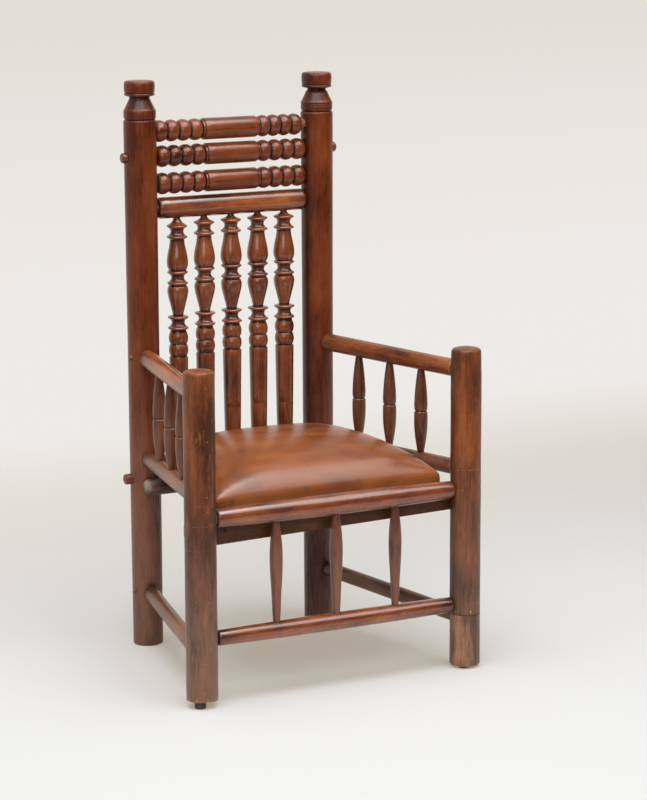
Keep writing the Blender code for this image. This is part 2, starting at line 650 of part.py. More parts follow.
def front_spindles():
    for index in range(FRONT_SPINDLE_COUNT):
        x = (index - (FRONT_SPINDLE_COUNT - 1) / 2) * FRONT_SPINDLE_PITCH
        add_spindle(f"front_spindle_{index + 1}", Vector((x, FRONT_Y, FRONT_STRETCHER_Z)),
                    Vector((x, FRONT_Y, FRONT_RAIL_Z)), ("front_stretcher", "front_seat_rail"),
                    (FRONT_STRETCHER_R, FRONT_RAIL_R), front_spindle_body, (SMALL_TENON_R, SMALL_TENON_R),
                    SMALL_TENON_L, SPINDLE_SEGMENTS, "worn_wood")


# Bearers that carry the seat, and their screws
def screw_outline(tip):
    """A countersunk screw along +Z, with its head's face at the start."""
    return [(0.0, SCREW_HEAD_R), (SCREW_HEAD_T, SCREW_R), (tip, SCREW_R)]


def screw_hole(tip):
    """The screw's own shape with the fit's gap all round, open at the head."""
    return [(-CUTTER_REACH, SCREW_HEAD_R + FIT), (0.0, SCREW_HEAD_R + FIT),
            (SCREW_HEAD_T, SCREW_R + FIT), (tip + FIT, SCREW_R + FIT)]


def rear_bearer():
    """Round bar across the front of the rear posts, notched round them and screwed to them."""
    post_radius = rear_post_radius(BEARER_Z)
    y = REAR_Y - post_radius - BEARER_R + BEARER_LET_IN
    half = REAR_SPREAD / 2 + BEARER_OVERHANG
    frame = aimed(Vector((-half, y, BEARER_Z)), Vector((half, y, BEARER_Z)), RAIL_SEGMENTS)
    outline = [(0.0, BEARER_R - BEARER_END_CHAMFER), (BEARER_END_CHAMFER, BEARER_R),
               (2 * half - BEARER_END_CHAMFER, BEARER_R), (2 * half, BEARER_R - BEARER_END_CHAMFER)]
    turned_piece("rear_bearer", outline, RAIL_SEGMENTS, "worn_wood", frame)
    for _, side in SIDES:
        post = Matrix.Translation(rear_post_point(side, 0.0))
        bore("rear_bearer", post, BEARER_Z - BEARER_R - CUTTER_REACH, BEARER_Z + BEARER_R + CUTTER_REACH,
             post_radius + FIT, POST_SEGMENTS)
    return y, post_radius


def front_bearer():
    """Board behind the front seat rail, coped round the front posts and screwed to them from behind."""
    front = FRONT_Y + FRONT_RAIL_R + FIT
    half = FRONT_SPREAD / 2 - FRONT_POST_R + BOARD_BEHIND_POST
    bm = bmesh.new()
    corners = [(-half, front), (half, front), (half, front + BOARD_T), (-half, front + BOARD_T)]
    add_prism(bm, corners, SEAT_BEARING_Z - BOARD_LEFT_H, SEAT_BEARING_Z)
    for vert in bm.verts:
        if vert.co.x > 0 and vert.co.z < SEAT_BEARING_Z - BOARD_RIGHT_H:
            vert.co.z = SEAT_BEARING_Z - BOARD_RIGHT_H
    new_piece("front_bearer", bm, "dark_wood")
    for _, side in SIDES:
        post = Matrix.Translation(front_post_point(side, 0.0))
        bore("front_bearer", post, SEAT_BEARING_Z - BOARD_LEFT_H - CUTTER_REACH, SEAT_BEARING_Z + CUTTER_REACH,
             FRONT_POST_R + FIT, POST_SEGMENTS)
    return front + BOARD_T


def bearers():
    """The two bearers and the screws that hold them to the posts."""
    bar_y, post_radius = rear_bearer()
    board_back = front_bearer()
    for label, side in SIDES:
        bar_face = Vector((side * REAR_SPREAD / 2, bar_y - BEARER_R, BEARER_Z))
        bar_tip = REAR_Y - post_radius + SCREW_BITE - bar_face.y
        board_z = SEAT_BEARING_Z - BOARD_RIGHT_H / 2
        board_face = Vector((side * (FRONT_SPREAD / 2 - BOARD_SCREW_IN), board_back, board_z))
        board_tip = board_back - FRONT_Y - math.sqrt(FRONT_POST_R ** 2 - BOARD_SCREW_IN ** 2) + SCREW_BITE
        for name, face, way, tip, receivers in (
            ("rear_bearer_screw_", bar_face, 1, bar_tip, ("rear_bearer", "rear_post_" + label)),
            ("front_bearer_screw_", board_face, -1, board_tip, ("front_bearer", "front_post_" + label)),
        ):
            frame = aimed(face, face + Vector((0.0, way, 0.0)))
            turned_piece(name + label, screw_outline(tip), SMALL_SEGMENTS, "screw", frame)
            for receiver in receivers:
                bores.setdefault(receiver, []).append((screw_hole(tip), SMALL_SEGMENTS, frame))


# Slip seat, modelled about a point in the middle of its bearing height
SEAT_FRONT_Y = FRONT_Y + FRONT_RAIL_R + SEAT_RAIL_CLEARANCE
SEAT_REAR_Y = REAR_Y - REAR_POST_TOP_R - SEAT_REAR_POST_CLEARANCE
SEAT_HALF_DEPTH = (SEAT_REAR_Y - SEAT_FRONT_Y) / 2
SEAT_MIDDLE_Y = (SEAT_REAR_Y + SEAT_FRONT_Y) / 2
SEAT_FRONT_HALF_W = FRONT_SPREAD / 2 - FRONT_POST_R - SEAT_FRONT_POST_CLEARANCE


def seat_rear_half_width():
    """Half width at the rear edge: the bars above lean in towards the rear posts, and the seat lifts past them."""
    lean = (FRONT_SPREAD - REAR_SPREAD) / 2 / POST_DEPTH
    centre_line = FRONT_SPREAD / 2 - lean * (SEAT_REAR_Y - FRONT_Y)
    return centre_line - (max(ARM_REAR_R, SIDE_RAIL_R) + SEAT_SIDE_CLEARANCE) * math.hypot(1.0, lean)


def seat_half_width(y, inset=0.0):
    share = (y + SEAT_HALF_DEPTH) / (2 * SEAT_HALF_DEPTH)
    return SEAT_FRONT_HALF_W + (seat_rear_half_width() - SEAT_FRONT_HALF_W) * share - inset


def crown_point(across, deep):
    """A point of the leather's top: across and deep run from -1 to 1 over the seat."""
    y = deep * SEAT_HALF_DEPTH
    fall = max(1 - abs(across) ** CROWN_ACROSS_POWER, 0.0) * max(1 - abs(deep) ** CROWN_DEEP_POWER, 0.0)
    return Vector((across * seat_half_width(y), y, LEATHER_EDGE_H + CROWN_H * fall ** CROWN_FULLNESS))


def extend_rim(bm, rim, old_inset, inset, height):
    """Extrudes an edge loop of the leather to another inset from the seat's outline, and another height."""
    made = bmesh.ops.extrude_edge_only(bm, edges=rim)["geom"]
    for vert in [item for item in made if isinstance(item, bmesh.types.BMVert)]:
        across = vert.co.x / seat_half_width(vert.co.y, old_inset)
        deep = vert.co.y / (SEAT_HALF_DEPTH - old_inset)
        vert.co.y = deep * (SEAT_HALF_DEPTH - inset)
        vert.co.x = across * seat_half_width(vert.co.y, inset)
        vert.co.z = height
    return [item for item in made if isinstance(item, bmesh.types.BMEdge)]


def leather_seat(seat):
    """Crowned leather top, drawn down round the frame and turned under it, hollow where the frame lies."""
    bm = bmesh.new()
    bmesh.ops.create_grid(bm, x_segments=LEATHER_CELLS_ACROSS, y_segments=LEATHER_CELLS_DEEP, size=1.0)
    for vert in bm.verts:
        vert.co = crown_point(math.sin(math.pi / 2 * vert.co.x), math.sin(math.pi / 2 * vert.co.y))
    rim = [edge for edge in bm.edges if edge.is_boundary]
    turned_under = LEATHER_T + LEATHER_TURN_UNDER
    rim = extend_rim(bm, rim, 0.0, 0.0, FIT)
    rim = extend_rim(bm, rim, 0.0, turned_under, FIT)
    rim = extend_rim(bm, rim, turned_under, turned_under, FIT + LEATHER_T)
    rim = extend_rim(bm, rim, turned_under, LEATHER_T, FIT + LEATHER_T)
    rim = extend_rim(bm, rim, LEATHER_T, LEATHER_T, frame_top() + 2 * (WEB_T + FIT) + FIT)
    bmesh.ops.contextual_create(bm, geom=rim)
    new_piece("leather_seat", bm, "leather").parent = seat


def frame_low():
    return FIT + LEATHER_T + FIT


def frame_top():
    return frame_low() + FRAME_T


def seat_frame(seat):
    """Four half-lapped rails inside the leather."""
    inset = LEATHER_T + 2 * FIT
    front = -SEAT_HALF_DEPTH + inset
    rear = SEAT_HALF_DEPTH - inset
    middle = frame_low() + FRAME_T / 2
    cut = FRAME_CORNER_CUT

    def edge(y):
        return seat_half_width(y, inset)

    def cross_corners(outer, way):
        inner = outer + way * FRAME_W
        half = [(edge(outer) - cut, outer), (edge(outer + way * cut), outer + way * cut), (edge(inner), inner)]
        return half + [(-x, y) for x, y in reversed(half)]

    def side_corners(side):
        corners = [(edge(front) - cut, front), (edge(front + cut), front + cut), (edge(rear - cut), rear - cut),
                   (edge(rear) - cut, rear), (edge(rear) - FRAME_W, rear), (edge(front) - FRAME_W, front)]
        return [(side * x, y) for x, y in corners]

    pieces = (("front", cross_corners(front, 1)), ("rear", cross_corners(rear, -1)),
              ("left", side_corners(-1)), ("right", side_corners(1)))
    for label, corners in pieces:
        bm = bmesh.new()
        add_prism(bm, corners, frame_low(), frame_top())
        piece = new_piece("seat_frame_" + label, bm, "plain_wood")
        piece.parent = seat
        cutter = bmesh.new()
        if label in ("front", "rear"):
            for side in (-1, 1):
                low_y = front - CUTTER_REACH
                high_y = rear + CUTTER_REACH
                lap = [(seat_half_width(low_y, inset) - FRAME_W - FIT, low_y), (FRONT_SPREAD / 2, low_y),
                       (FRONT_SPREAD / 2, high_y), (seat_half_width(high_y, inset) - FRAME_W - FIT, high_y)]
                add_prism(cutter, [(side * x, y) for x, y in lap], middle, frame_top() + CUTTER_REACH)
        else:
            for outer, inner in ((front - CUTTER_REACH, front + FRAME_W + FIT),
                                 (rear + CUTTER_REACH, rear - FRAME_W - FIT)):
                lap = [(-FRONT_SPREAD / 2, outer), (FRONT_SPREAD / 2, outer), (FRONT_SPREAD / 2, inner),
                       (-FRONT_SPREAD / 2, inner)]
                add_prism(cutter, lap, frame_low() - CUTTER_REACH, middle + FIT)
        cut_with(piece, cutter, "seat_frame_" + label + "_laps")


def seat_webbing(seat):
    """Strips laid front to back on the frame, and strips laid across them."""
    low = frame_top() + FIT
    margin = LEATHER_T + WEB_END_MARGIN
    deep = SEAT_HALF_DEPTH - margin
    half = WEB_W / 2
    for index in range(WEB_COUNT):
        middle = (index - (WEB_COUNT - 1) / 2) * WEB_PITCH
        near = seat_half_width(middle - half, margin)
        far = seat_half_width(middle + half, margin)
        lengthways = [(middle - half, -deep), (middle + half, -deep), (middle + half, deep), (middle - half, deep)]
        crossways = [(-near, middle - half), (near, middle - half), (far, middle + half), (-far, middle + half)]
        for name, corners, bottom in (("webbing_deep_", lengthways, low),
                                      ("webbing_across_", crossways, low + WEB_T + FIT)):
            bm = bmesh.new()
            add_prism(bm, corners, bottom, bottom + WEB_T)
            new_piece(f"{name}{index + 1}", bm, "webbing").parent = seat


def slip_seat():
    seat = bpy.data.objects.new("seat_lift", None)
    seat.location = (0.0, SEAT_MIDDLE_Y, SEAT_BEARING_Z)
    bpy.context.scene.collection.objects.link(seat)
    seat_frame(seat)
    seat_webbing(seat)
    leather_seat(seat)


def main():
    for old in list(bpy.data.objects):
        bpy.data.objects.remove(old, do_unlink=True)
    for label, side in SIDES:
        rear_post("rear_post_" + label, side)
    front_post("front_post_left", -1, LEFT_GLIDE_H)
    front_post("front_post_right", 1, SPLICE_Z)
    spliced_foot()
    foot_nail()
    glide("glide_left", -1, LEFT_GLIDE_H, "front_post_left")
    glide("glide_right", 1, RIGHT_GLIDE_H, "front_right_foot")
    mortise_plug()
    back_rail("crest_rail_top", CREST_TOP_Z, beaded_body, TENON_R, None)
    back_rail("crest_rail_middle", CREST_MIDDLE_Z, beaded_body, TENON_R, CREST_KNOB_PROUD)
    back_rail("crest_rail_lower", CREST_LOWER_Z, beaded_body, TENON_R, None)
    back_rail("spindle_rail", SPINDLE_RAIL_Z, plain_body(SPINDLE_RAIL_R, SPINDLE_RAIL_R), TENON_R, None)
    back_rail("rear_seat_rail", REAR_RAIL_Z, plain_body(REAR_RAIL_R, REAR_RAIL_R), REAR_RAIL_TENON_R,
              REAR_RAIL_KNOB_PROUD)
    back_spindles()
    side_bars()
    locking_pins()
    arm_spindles()
    front_rails()
    front_spindles()
    bearers()
    slip_seat()
    cut_bores()


main()
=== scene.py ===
# %% [markdown]
# # A turner's armchair
# This lesson dresses a packed armchair: round posts, rails and spindles off the lathe, and a stuffed
# leather seat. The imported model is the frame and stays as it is. Each turned stick is made again, finer,
# where its plain solid lies, and stands for that solid.

# %% Load the frame
import math

import bmesh
import bpy
import numpy as np
from mathutils import Matrix, Vector, noise


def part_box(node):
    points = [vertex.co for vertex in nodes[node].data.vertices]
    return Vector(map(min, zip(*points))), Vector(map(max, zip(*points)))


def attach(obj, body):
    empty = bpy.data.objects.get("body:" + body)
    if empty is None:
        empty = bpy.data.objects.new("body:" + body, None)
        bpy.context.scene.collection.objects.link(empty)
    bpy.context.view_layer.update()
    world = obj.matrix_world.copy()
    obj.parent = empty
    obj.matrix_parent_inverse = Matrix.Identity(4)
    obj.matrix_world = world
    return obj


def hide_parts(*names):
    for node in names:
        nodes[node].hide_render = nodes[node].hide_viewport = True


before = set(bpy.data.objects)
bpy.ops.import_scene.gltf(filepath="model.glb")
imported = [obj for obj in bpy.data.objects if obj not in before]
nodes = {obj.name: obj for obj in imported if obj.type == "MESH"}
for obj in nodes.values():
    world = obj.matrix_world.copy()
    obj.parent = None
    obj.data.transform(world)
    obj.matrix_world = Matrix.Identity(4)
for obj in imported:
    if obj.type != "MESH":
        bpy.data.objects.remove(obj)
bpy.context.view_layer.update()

# %% [markdown]
# ## Where the sticks run
# Every stick runs along a centre line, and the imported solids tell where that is: a post's line is in the
# middle of its box, and a level rail's height too. Only the two sloping pairs of side bars need heights of
# their own, because a sloping bar's box doesn't give its ends.

# %% Centre lines
def middle_of(node):
    low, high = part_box(node)
    return (low + high) / 2


LEFT, RIGHT = -1, 1
SIDES = {"left": LEFT, "right": RIGHT}
FRONT_X, FRONT_Y, _ = middle_of("front_post_right")
REAR_X, REAR_Y, _ = middle_of("rear_post_right")
FRONT_POST_R = (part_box("front_post_right")[1].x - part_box("front_post_right")[0].x) / 2
ARM_Z = middle_of("arm_left").z
FRONT_RAIL_Z = middle_of("front_seat_rail").z
FRONT_STRETCHER_Z = middle_of("front_stretcher").z
REAR_RAIL_Z = middle_of("rear_seat_rail").z
SPINDLE_RAIL_Z = middle_of("spindle_rail").z
CREST_Z = {name: middle_of("crest_rail_" + name).z for name in ("top", "middle", "lower")}
SIDE_RAIL_REAR_Z, SIDE_RAIL_FRONT_Z = 0.4005, 0.4085
STRETCHER_REAR_Z, STRETCHER_FRONT_Z = 0.1175, 0.1005
SPLICE_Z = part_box("front_post_right")[0].z
REAR_POST_FOOT_R, REAR_POST_TOP_R = 0.0312, 0.0337
REAR_SHOULDER_Z = 1.0932


def front_post_point(side, height):
    return Vector((side * FRONT_X, FRONT_Y, height))


def rear_post_point(side, height):
    return Vector((side * REAR_X, REAR_Y, height))


def rear_post_radius(height):
    return REAR_POST_FOOT_R + (REAR_POST_TOP_R - REAR_POST_FOOT_R) * height / REAR_SHOULDER_Z


print("front posts at", round(FRONT_X, 4), round(FRONT_Y, 4))
print("rear posts at", round(REAR_X, 4), round(REAR_Y, 4))

# %% [markdown]
# ## The lathe
# A turned stick is an outline swept round its own line. The outline is a list of distances along the stick
# and radii. Long straight runs are divided, so that a little unevenness can be worked in: an old stick is
# never quite round or straight.

# %% Outlines
def divided(outline, longest):
    """Adds points so that no stretch of an outline is longer than longest."""
    points = [outline[0]]
    for (start, start_r), (end, end_r) in zip(outline, outline[1:]):
        count = max(1, math.ceil(abs(end - start) / longest))
        for step in range(1, count + 1):
            share = step / count
            points.append((start + (end - start) * share, start_r + (end_r - start_r) * share))
    return points


def curved(points, steps=5):
    """A smooth line through a few points of an outline."""
    padded = [points[0]] + list(points) + [points[-1]]
    line = [points[0]]
    for before, start, end, after in zip(padded, padded[1:], padded[2:], padded[3:]):
        for step in range(1, steps + 1):
            t = step / steps
            pair = []
            for a, b, c, d in zip(before, start, end, after):
                pair.append(0.5 * (2 * b + (c - a) * t + (2 * a - 5 * b + 4 * c - d) * t * t
                                   + (3 * b - a - 3 * c + d) * t ** 3))
            line.append(tuple(pair))
    return line


def rounded(at, radius, rounding, inward, steps=5):
    """A quarter round at an end; inward is 1 if the stick lies beyond it and -1 if it lies before it."""
    points = []
    for step in range(steps + 1):
        angle = math.pi / 2 * step / steps
        along = at + inward * rounding * (1 - math.cos(angle))
        points.append((along, radius - rounding * (1 - math.sin(angle))))
    return points if inward > 0 else points[::-1]


def scored(at, radius, depth=0.0004, half=0.0007):
    """A scribed line round a stick."""
    return [(at - half, radius), (at, radius - depth), (at + half, radius)]


print("divided:", divided([(0, 1), (1, 1)], 0.5))

# %% [markdown]
# Dirt gathers in the grooves of a stick, and its edges rub bare. So the outline is compared with its own
# average nearby: where it lies lower it is hollow, where it lies higher it stands out.

# %% Hollows
SAMPLES = 3000


def hollows(outline, reach):
    """How far the outline lies below its own average nearby, in millimetres."""
    places, radii = np.array(outline).T
    fine = np.linspace(places.min(), places.max(), SAMPLES)
    order = np.argsort(places, kind="stable")
    smooth = np.interp(fine, places[order], radii[order])
    width = max(3, int(reach / (fine[1] - fine[0])) | 1)
    padded = np.pad(smooth, width // 2, mode="edge")
    mean = np.convolve(padded, np.ones(width) / width, mode="valid")
    return (np.interp(places, fine, mean) - radii) * 1000


def calm_ends(outline, depths):
    """Leaves the rounded ends of a stick out of its hollows."""
    radii = [radius for _, radius in outline]
    depths = list(depths)
    last = len(radii) - 1
    for order, step in ((range(last), 1), (range(last, 0, -1), -1)):
        for index in order:
            if radii[index] >= radii[index + step]:
                break
            depths[index] = 0.0
    return depths


print("deepest hollow of a scribed line:", round(max(hollows(scored(0.01, 0.03), 0.001)), 2), "mm")

# %% [markdown]
# The spin operator sweeps the outline once round. Its ends lie on the axis, so they close into poles when
# the doubles are merged. The stick is made upright and then laid along its own line, so its object can stay
# at the origin. Four things are kept on its points for the finish: the place along the stick, so that the
# grain follows it, how hollow it is there, where the wood is bare, and how much lighter or darker it is
# painted, by wear and on some sticks by painted light and shade.

# %% Turned sticks
BROAD_RIPPLE = Vector((45, 45, 9))
FINE_RIPPLE = Vector((130, 130, 40))
FINE_RIPPLE_SHARE = 0.4
AXIS_KEPT_STILL = 0.002
DOUBLES = 0.000002
SHARP_EDGE = math.radians(48)
pieces = {}


def finished(name, mesh, body, replaced, finish):
    """Puts a mesh in the scene as a piece of a body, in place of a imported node."""
    mesh.shade_smooth()
    mesh.set_sharp_from_angle(angle=SHARP_EDGE)
    mesh.materials.append(finish)
    piece = bpy.data.objects.new(name, mesh)
    bpy.context.scene.collection.objects.link(piece)
    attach(piece, body)
    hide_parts(replaced)
    pieces[name] = piece
    return piece


def meshed(bm, name):
    mesh = bpy.data.meshes.new(name)
    bm.to_mesh(mesh)
    bm.free()
    return mesh


def clean(height):
    return 0.0


def worn_tone(point, patches):
    """How much lighter or darker the wood is at a point; each patch has a centre, a reach and an amount."""
    total = 0.0
    for centre, reach, amount in patches:
        away = [(point[axis] - centre[axis]) / reach[axis] for axis in range(3)]
        total += amount * math.exp(-sum(part * part for part in away))
    return total


def ripple(point, shift):
    broad = noise.noise(point * BROAD_RIPPLE + shift)
    return broad + FINE_RIPPLE_SHARE * noise.noise(point * FINE_RIPPLE + shift)


def turned(node, outline, start, end, finish, slot, steps=40, uneven=0.00012, dirt=clean, bare=clean,
           patches=(), grooves=0.006):
    """Spins an outline into a piece along a line, with its place, hollows, bare wood and tone from wear and
    painted light kept on its points.
    """
    name = node + "_turned"
    depths = [0.0, *calm_ends(outline, hollows(outline, grooves)), 0.0]
    outline = [(outline[0][0], 0.0)] + list(outline) + [(outline[-1][0], 0.0)]
    bm = bmesh.new()
    hollow, bareness, tone_shift = [bm.verts.layers.float.new(layer) for layer in ("hollow", "bare", "tone_shift")]
    grain = bm.verts.layers.float_vector.new("turned_place")
    line = []
    for (height, radius), depth in zip(outline, depths):
        point = bm.verts.new((radius, 0.0, height))
        point[hollow] = depth + dirt(height)
        point[bareness] = bare(height)
        line.append(point)
    edges = [bm.edges.new(pair) for pair in zip(line, line[1:])]
    bmesh.ops.spin(bm, geom=line + edges, cent=(0, 0, 0), axis=(0, 0, 1), angle=math.tau, steps=steps,
                   use_merge=True)
    bmesh.ops.remove_doubles(bm, verts=bm.verts, dist=DOUBLES)
    shift = Vector((sum(ord(letter) for letter in name) % 17, len(name) % 7, 0.31 * len(pieces)))
    for point in bm.verts:
        around = Vector((point.co.x, point.co.y, 0.0))
        if around.length > AXIS_KEPT_STILL:
            point.co += around.normalized() * ripple(point.co, shift) * uneven
        point[grain] = point.co + shift
    turn = (end - start).to_track_quat("Z", "Y").to_matrix().to_4x4()
    bmesh.ops.transform(bm, matrix=Matrix.Translation(start) @ turn, verts=bm.verts)
    bmesh.ops.recalc_face_normals(bm, faces=bm.faces)
    for point in bm.verts:
        point[tone_shift] = worn_tone(point.co, patches)
    return finished(name, meshed(bm, name), "frame", node, finish)


def upright(node, outline, foot, finish, slot, **settings):
    """A turned piece whose outline gives heights above its foot."""
    return turned(node, outline, foot, foot + Vector((0, 0, 1)), finish, slot, **settings)


def dirt_at(places, reach, most=1.0):
    """Dirt that gathers round joints at these places along a stick."""
    def dirt(height):
        return sum(most * math.exp(-abs(height - place) / reach) for place in places)
    return dirt


# %% [markdown]
# ## Old polish on wood
# The wood is reddish brown under an old polish: long dark and light streaks along the grain, short dark
# pores, cloudy patches, dirt in the grooves and bare rubbed edges. All wooden finishes share one node group
# with their own colours. The pattern is read from the place kept on the points, so the grain runs along
# every stick.

# %% Node helpers
class Tree:
    """Adds nodes to one node tree; an input is another node's socket or a plain value."""

    def __init__(self, tree):
        self.tree = tree

    def feed(self, node, inputs):
        for key, value in inputs.items():
            socket = node.inputs[key]
            if isinstance(value, bpy.types.NodeSocket):
                self.tree.links.new(value, socket)
            else:
                socket.default_value = (*value, 1.0) if socket.type == "RGBA" else value
        return node

    def add(self, kind, inputs=None, **settings):
        node = self.tree.nodes.new(kind)
        for key, value in settings.items():
            setattr(node, key, value)
        return self.feed(node, inputs or {})

    def maths(self, operation, first, second=0.0, clamp=False):
        inputs = {0: first, 1: second}
        return self.add("ShaderNodeMath", inputs, operation=operation, use_clamp=clamp).outputs[0]

    def plus(self, first, second):
        return self.maths("ADD", first, second)

    def less(self, first, second):
        return self.maths("SUBTRACT", first, second)

    def times(self, first, second, clamp=False):
        return self.maths("MULTIPLY", first, second, clamp)

    def larger(self, first, second):
        return self.maths("MAXIMUM", first, second)

    def mixed(self, share, first, second):
        return self.add("ShaderNodeMix", {0: share, 6: first, 7: second}, data_type="RGBA").outputs[2]

    def stepped(self, value, low, high, start=0.0, end=1.0):
        inputs = {"Value": value, "From Min": low, "From Max": high, "To Min": start, "To Max": end}
        return self.add("ShaderNodeMapRange", inputs, interpolation_type="SMOOTHSTEP").outputs[0]

    def cloud(self, place, scale, stretch=1.0, detail=3.0, roughness=0.55, distortion=0.0):
        """Noise whose blots are drawn out along Z where stretch is under 1."""
        spread = self.add("ShaderNodeMapping", {"Vector": place, "Scale": (1.0, 1.0, stretch)}).outputs[0]
        inputs = {"Vector": spread, "Scale": scale, "Detail": detail, "Roughness": roughness,
                  "Distortion": distortion}
        return self.add("ShaderNodeTexNoise", inputs).outputs[0]

    def place(self):
        return self.add("ShaderNodeTexCoord").outputs["Object"]

    def parts(self, vector):
        """The X, Y and Z of a vector."""
        return self.add("ShaderNodeSeparateXYZ", {0: vector}).outputs

    def measured(self, operation, first, second):
        """One number from two vectors, such as their distance."""
        return self.add("ShaderNodeVectorMath", {0: first, 1: second}, operation=operation).outputs["Value"]

    def bump(self, height, strength, distance):
        inputs = {"Height": height, "Strength": strength, "Distance": distance}
        return self.add("ShaderNodeBump", inputs).outputs[0]


def new_finish(name):
    """A new material, its tree and its shader."""
    material = bpy.data.materials.new(name)
    material.use_nodes = True
    return material, Tree(material.node_tree), material.node_tree.nodes["Principled BSDF"]


# %% The wood's node group
GRIME = (0.011, 0.005, 0.003)
DUST_AND_SHEEN = (0.235, 0.132, 0.088)
BARE_WOOD = (0.330, 0.150, 0.075), (0.500, 0.280, 0.150)
POLISH_ROUGHNESS = 0.31
GROUP_INPUTS = {
    "NodeSocketVector": ("Place",),
    "NodeSocketColor": ("Deep", "Main", "Bright"),
    "NodeSocketFloat": ("Hollow", "Streaks", "Flecks", "Rubbing", "Dirt", "Bare", "Nicks", "Tone shift", "Dust and sheen")}
GROUP_OUTPUTS = {"NodeSocketColor": ("Colour",), "NodeSocketFloat": ("Roughness", "Height")}


def wood_group():
    """Colour, roughness and height of old polished wood."""
    group = bpy.data.node_groups.new("old_polished_wood", "ShaderNodeTree")
    for way, sockets in (("INPUT", GROUP_INPUTS), ("OUTPUT", GROUP_OUTPUTS)):
        for kind, names in sockets.items():
            for name in names:
                group.interface.new_socket(name=name, in_out=way, socket_type=kind)
    tree = Tree(group)
    given = tree.add("NodeGroupInput").outputs
    place = given["Place"]
    # patterns along the grain
    fibres = tree.cloud(place, 420.0, 0.05, 4.0, 0.65)
    streaks = tree.cloud(place, 110.0, 0.07, 4.0, 0.6, 0.4)
    patches = tree.cloud(place, 19.0, 0.4, 4.0, 0.6)
    flecks = tree.stepped(tree.cloud(place, 300.0, 0.16, 3.0, 0.6, 0.5), 0.50, 0.66)
    pores = tree.stepped(tree.cloud(place, 1300.0, 0.045, 1.0, 0.5), 0.57, 0.70)
    spread = tree.times(tree.less(streaks, 0.5), given["Streaks"])
    spread = tree.plus(spread, tree.times(tree.less(fibres, 0.5), 0.5))
    tone = tree.plus(tree.plus(patches, spread), given["Tone shift"])
    # the wood itself, with bright flecks and dark pores
    shade = tree.mixed(tree.stepped(tone, 0.26, 0.54), given["Deep"], given["Main"])
    shade = tree.mixed(tree.stepped(tone, 0.48, 0.80), shade, given["Bright"])
    fleck_share = tree.times(tree.times(flecks, given["Flecks"]), tree.stepped(patches, 0.4, 0.62))
    shade = tree.mixed(fleck_share, shade, given["Bright"])
    shade = tree.mixed(tree.times(pores, 0.5), shade, given["Deep"])
    # rubbed edges, grime in grooves, and low down a greyish dust with a painted sheen
    rub = tree.stepped(tree.times(given["Hollow"], -1.0), 0.10, 0.9)
    rub = tree.times(tree.times(rub, given["Rubbing"]), tree.stepped(patches, 0.3, 0.6))
    shade = tree.mixed(rub, shade, given["Bright"])
    grime = tree.times(tree.stepped(given["Hollow"], 0.15, 1.3), given["Dirt"])
    grime = tree.times(grime, tree.stepped(tone, 0.15, 0.75, 1.15, 0.65), clamp=True)
    shade = tree.mixed(grime, shade, GRIME)
    dust_and_sheen = tree.times(given["Dust and sheen"], tree.stepped(fibres, 0.25, 0.75, 0.6, 1.4), clamp=True)
    dust_and_sheen = tree.times(dust_and_sheen, tree.stepped(tone, 0.05, 0.40, 0.2, 1.0))
    shade = tree.mixed(dust_and_sheen, shade, DUST_AND_SHEEN)
    # nicks and chips down to the bare wood
    specks = tree.add("ShaderNodeTexVoronoi", {"Vector": place, "Scale": 78.0}).outputs
    chance = tree.add("ShaderNodeSeparateColor", {0: specks["Color"]}).outputs[0]
    nick = tree.times(tree.stepped(specks["Distance"], 0.06, 0.12, 1.0, 0.0), given["Nicks"])
    nick = tree.times(nick, tree.stepped(chance, 0.45, 0.55))
    ragged = tree.plus(1.0, tree.times(tree.less(flecks, 0.4), 1.3))
    chipped = tree.stepped(tree.times(given["Bare"], ragged), 0.42, 0.58)
    shade = tree.mixed(tree.larger(nick, chipped), shade, tree.mixed(fibres, *BARE_WOOD))
    # roughness and height
    dull = tree.plus(tree.stepped(patches, 0.2, 0.8, -0.05, 0.07), tree.times(grime, 0.2))
    dull = tree.plus(dull, tree.times(tree.less(fibres, 0.5), 0.16))
    height = tree.less(tree.times(fibres, 0.5), tree.times(pores, 0.5))
    tree.feed(tree.add("NodeGroupOutput"),
              {"Colour": shade, "Roughness": tree.plus(dull, POLISH_ROUGHNESS), "Height": height})
    return group


WOOD = wood_group()
print("wood group:", len(WOOD.nodes), "nodes")

# %% [markdown]
# A wooden finish is the group with three colours from deep to bright. The polish is a thin clear coat.
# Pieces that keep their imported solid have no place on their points, so their grain is read from Object
# coordinates.

# %% Wooden finishes
DUST_AND_SHEEN_LOW_Z = 0.06
COAT_ROUGHNESS = 0.15
GRAIN_DEPTH = 0.0006
HOLE_DIRT = 4.0


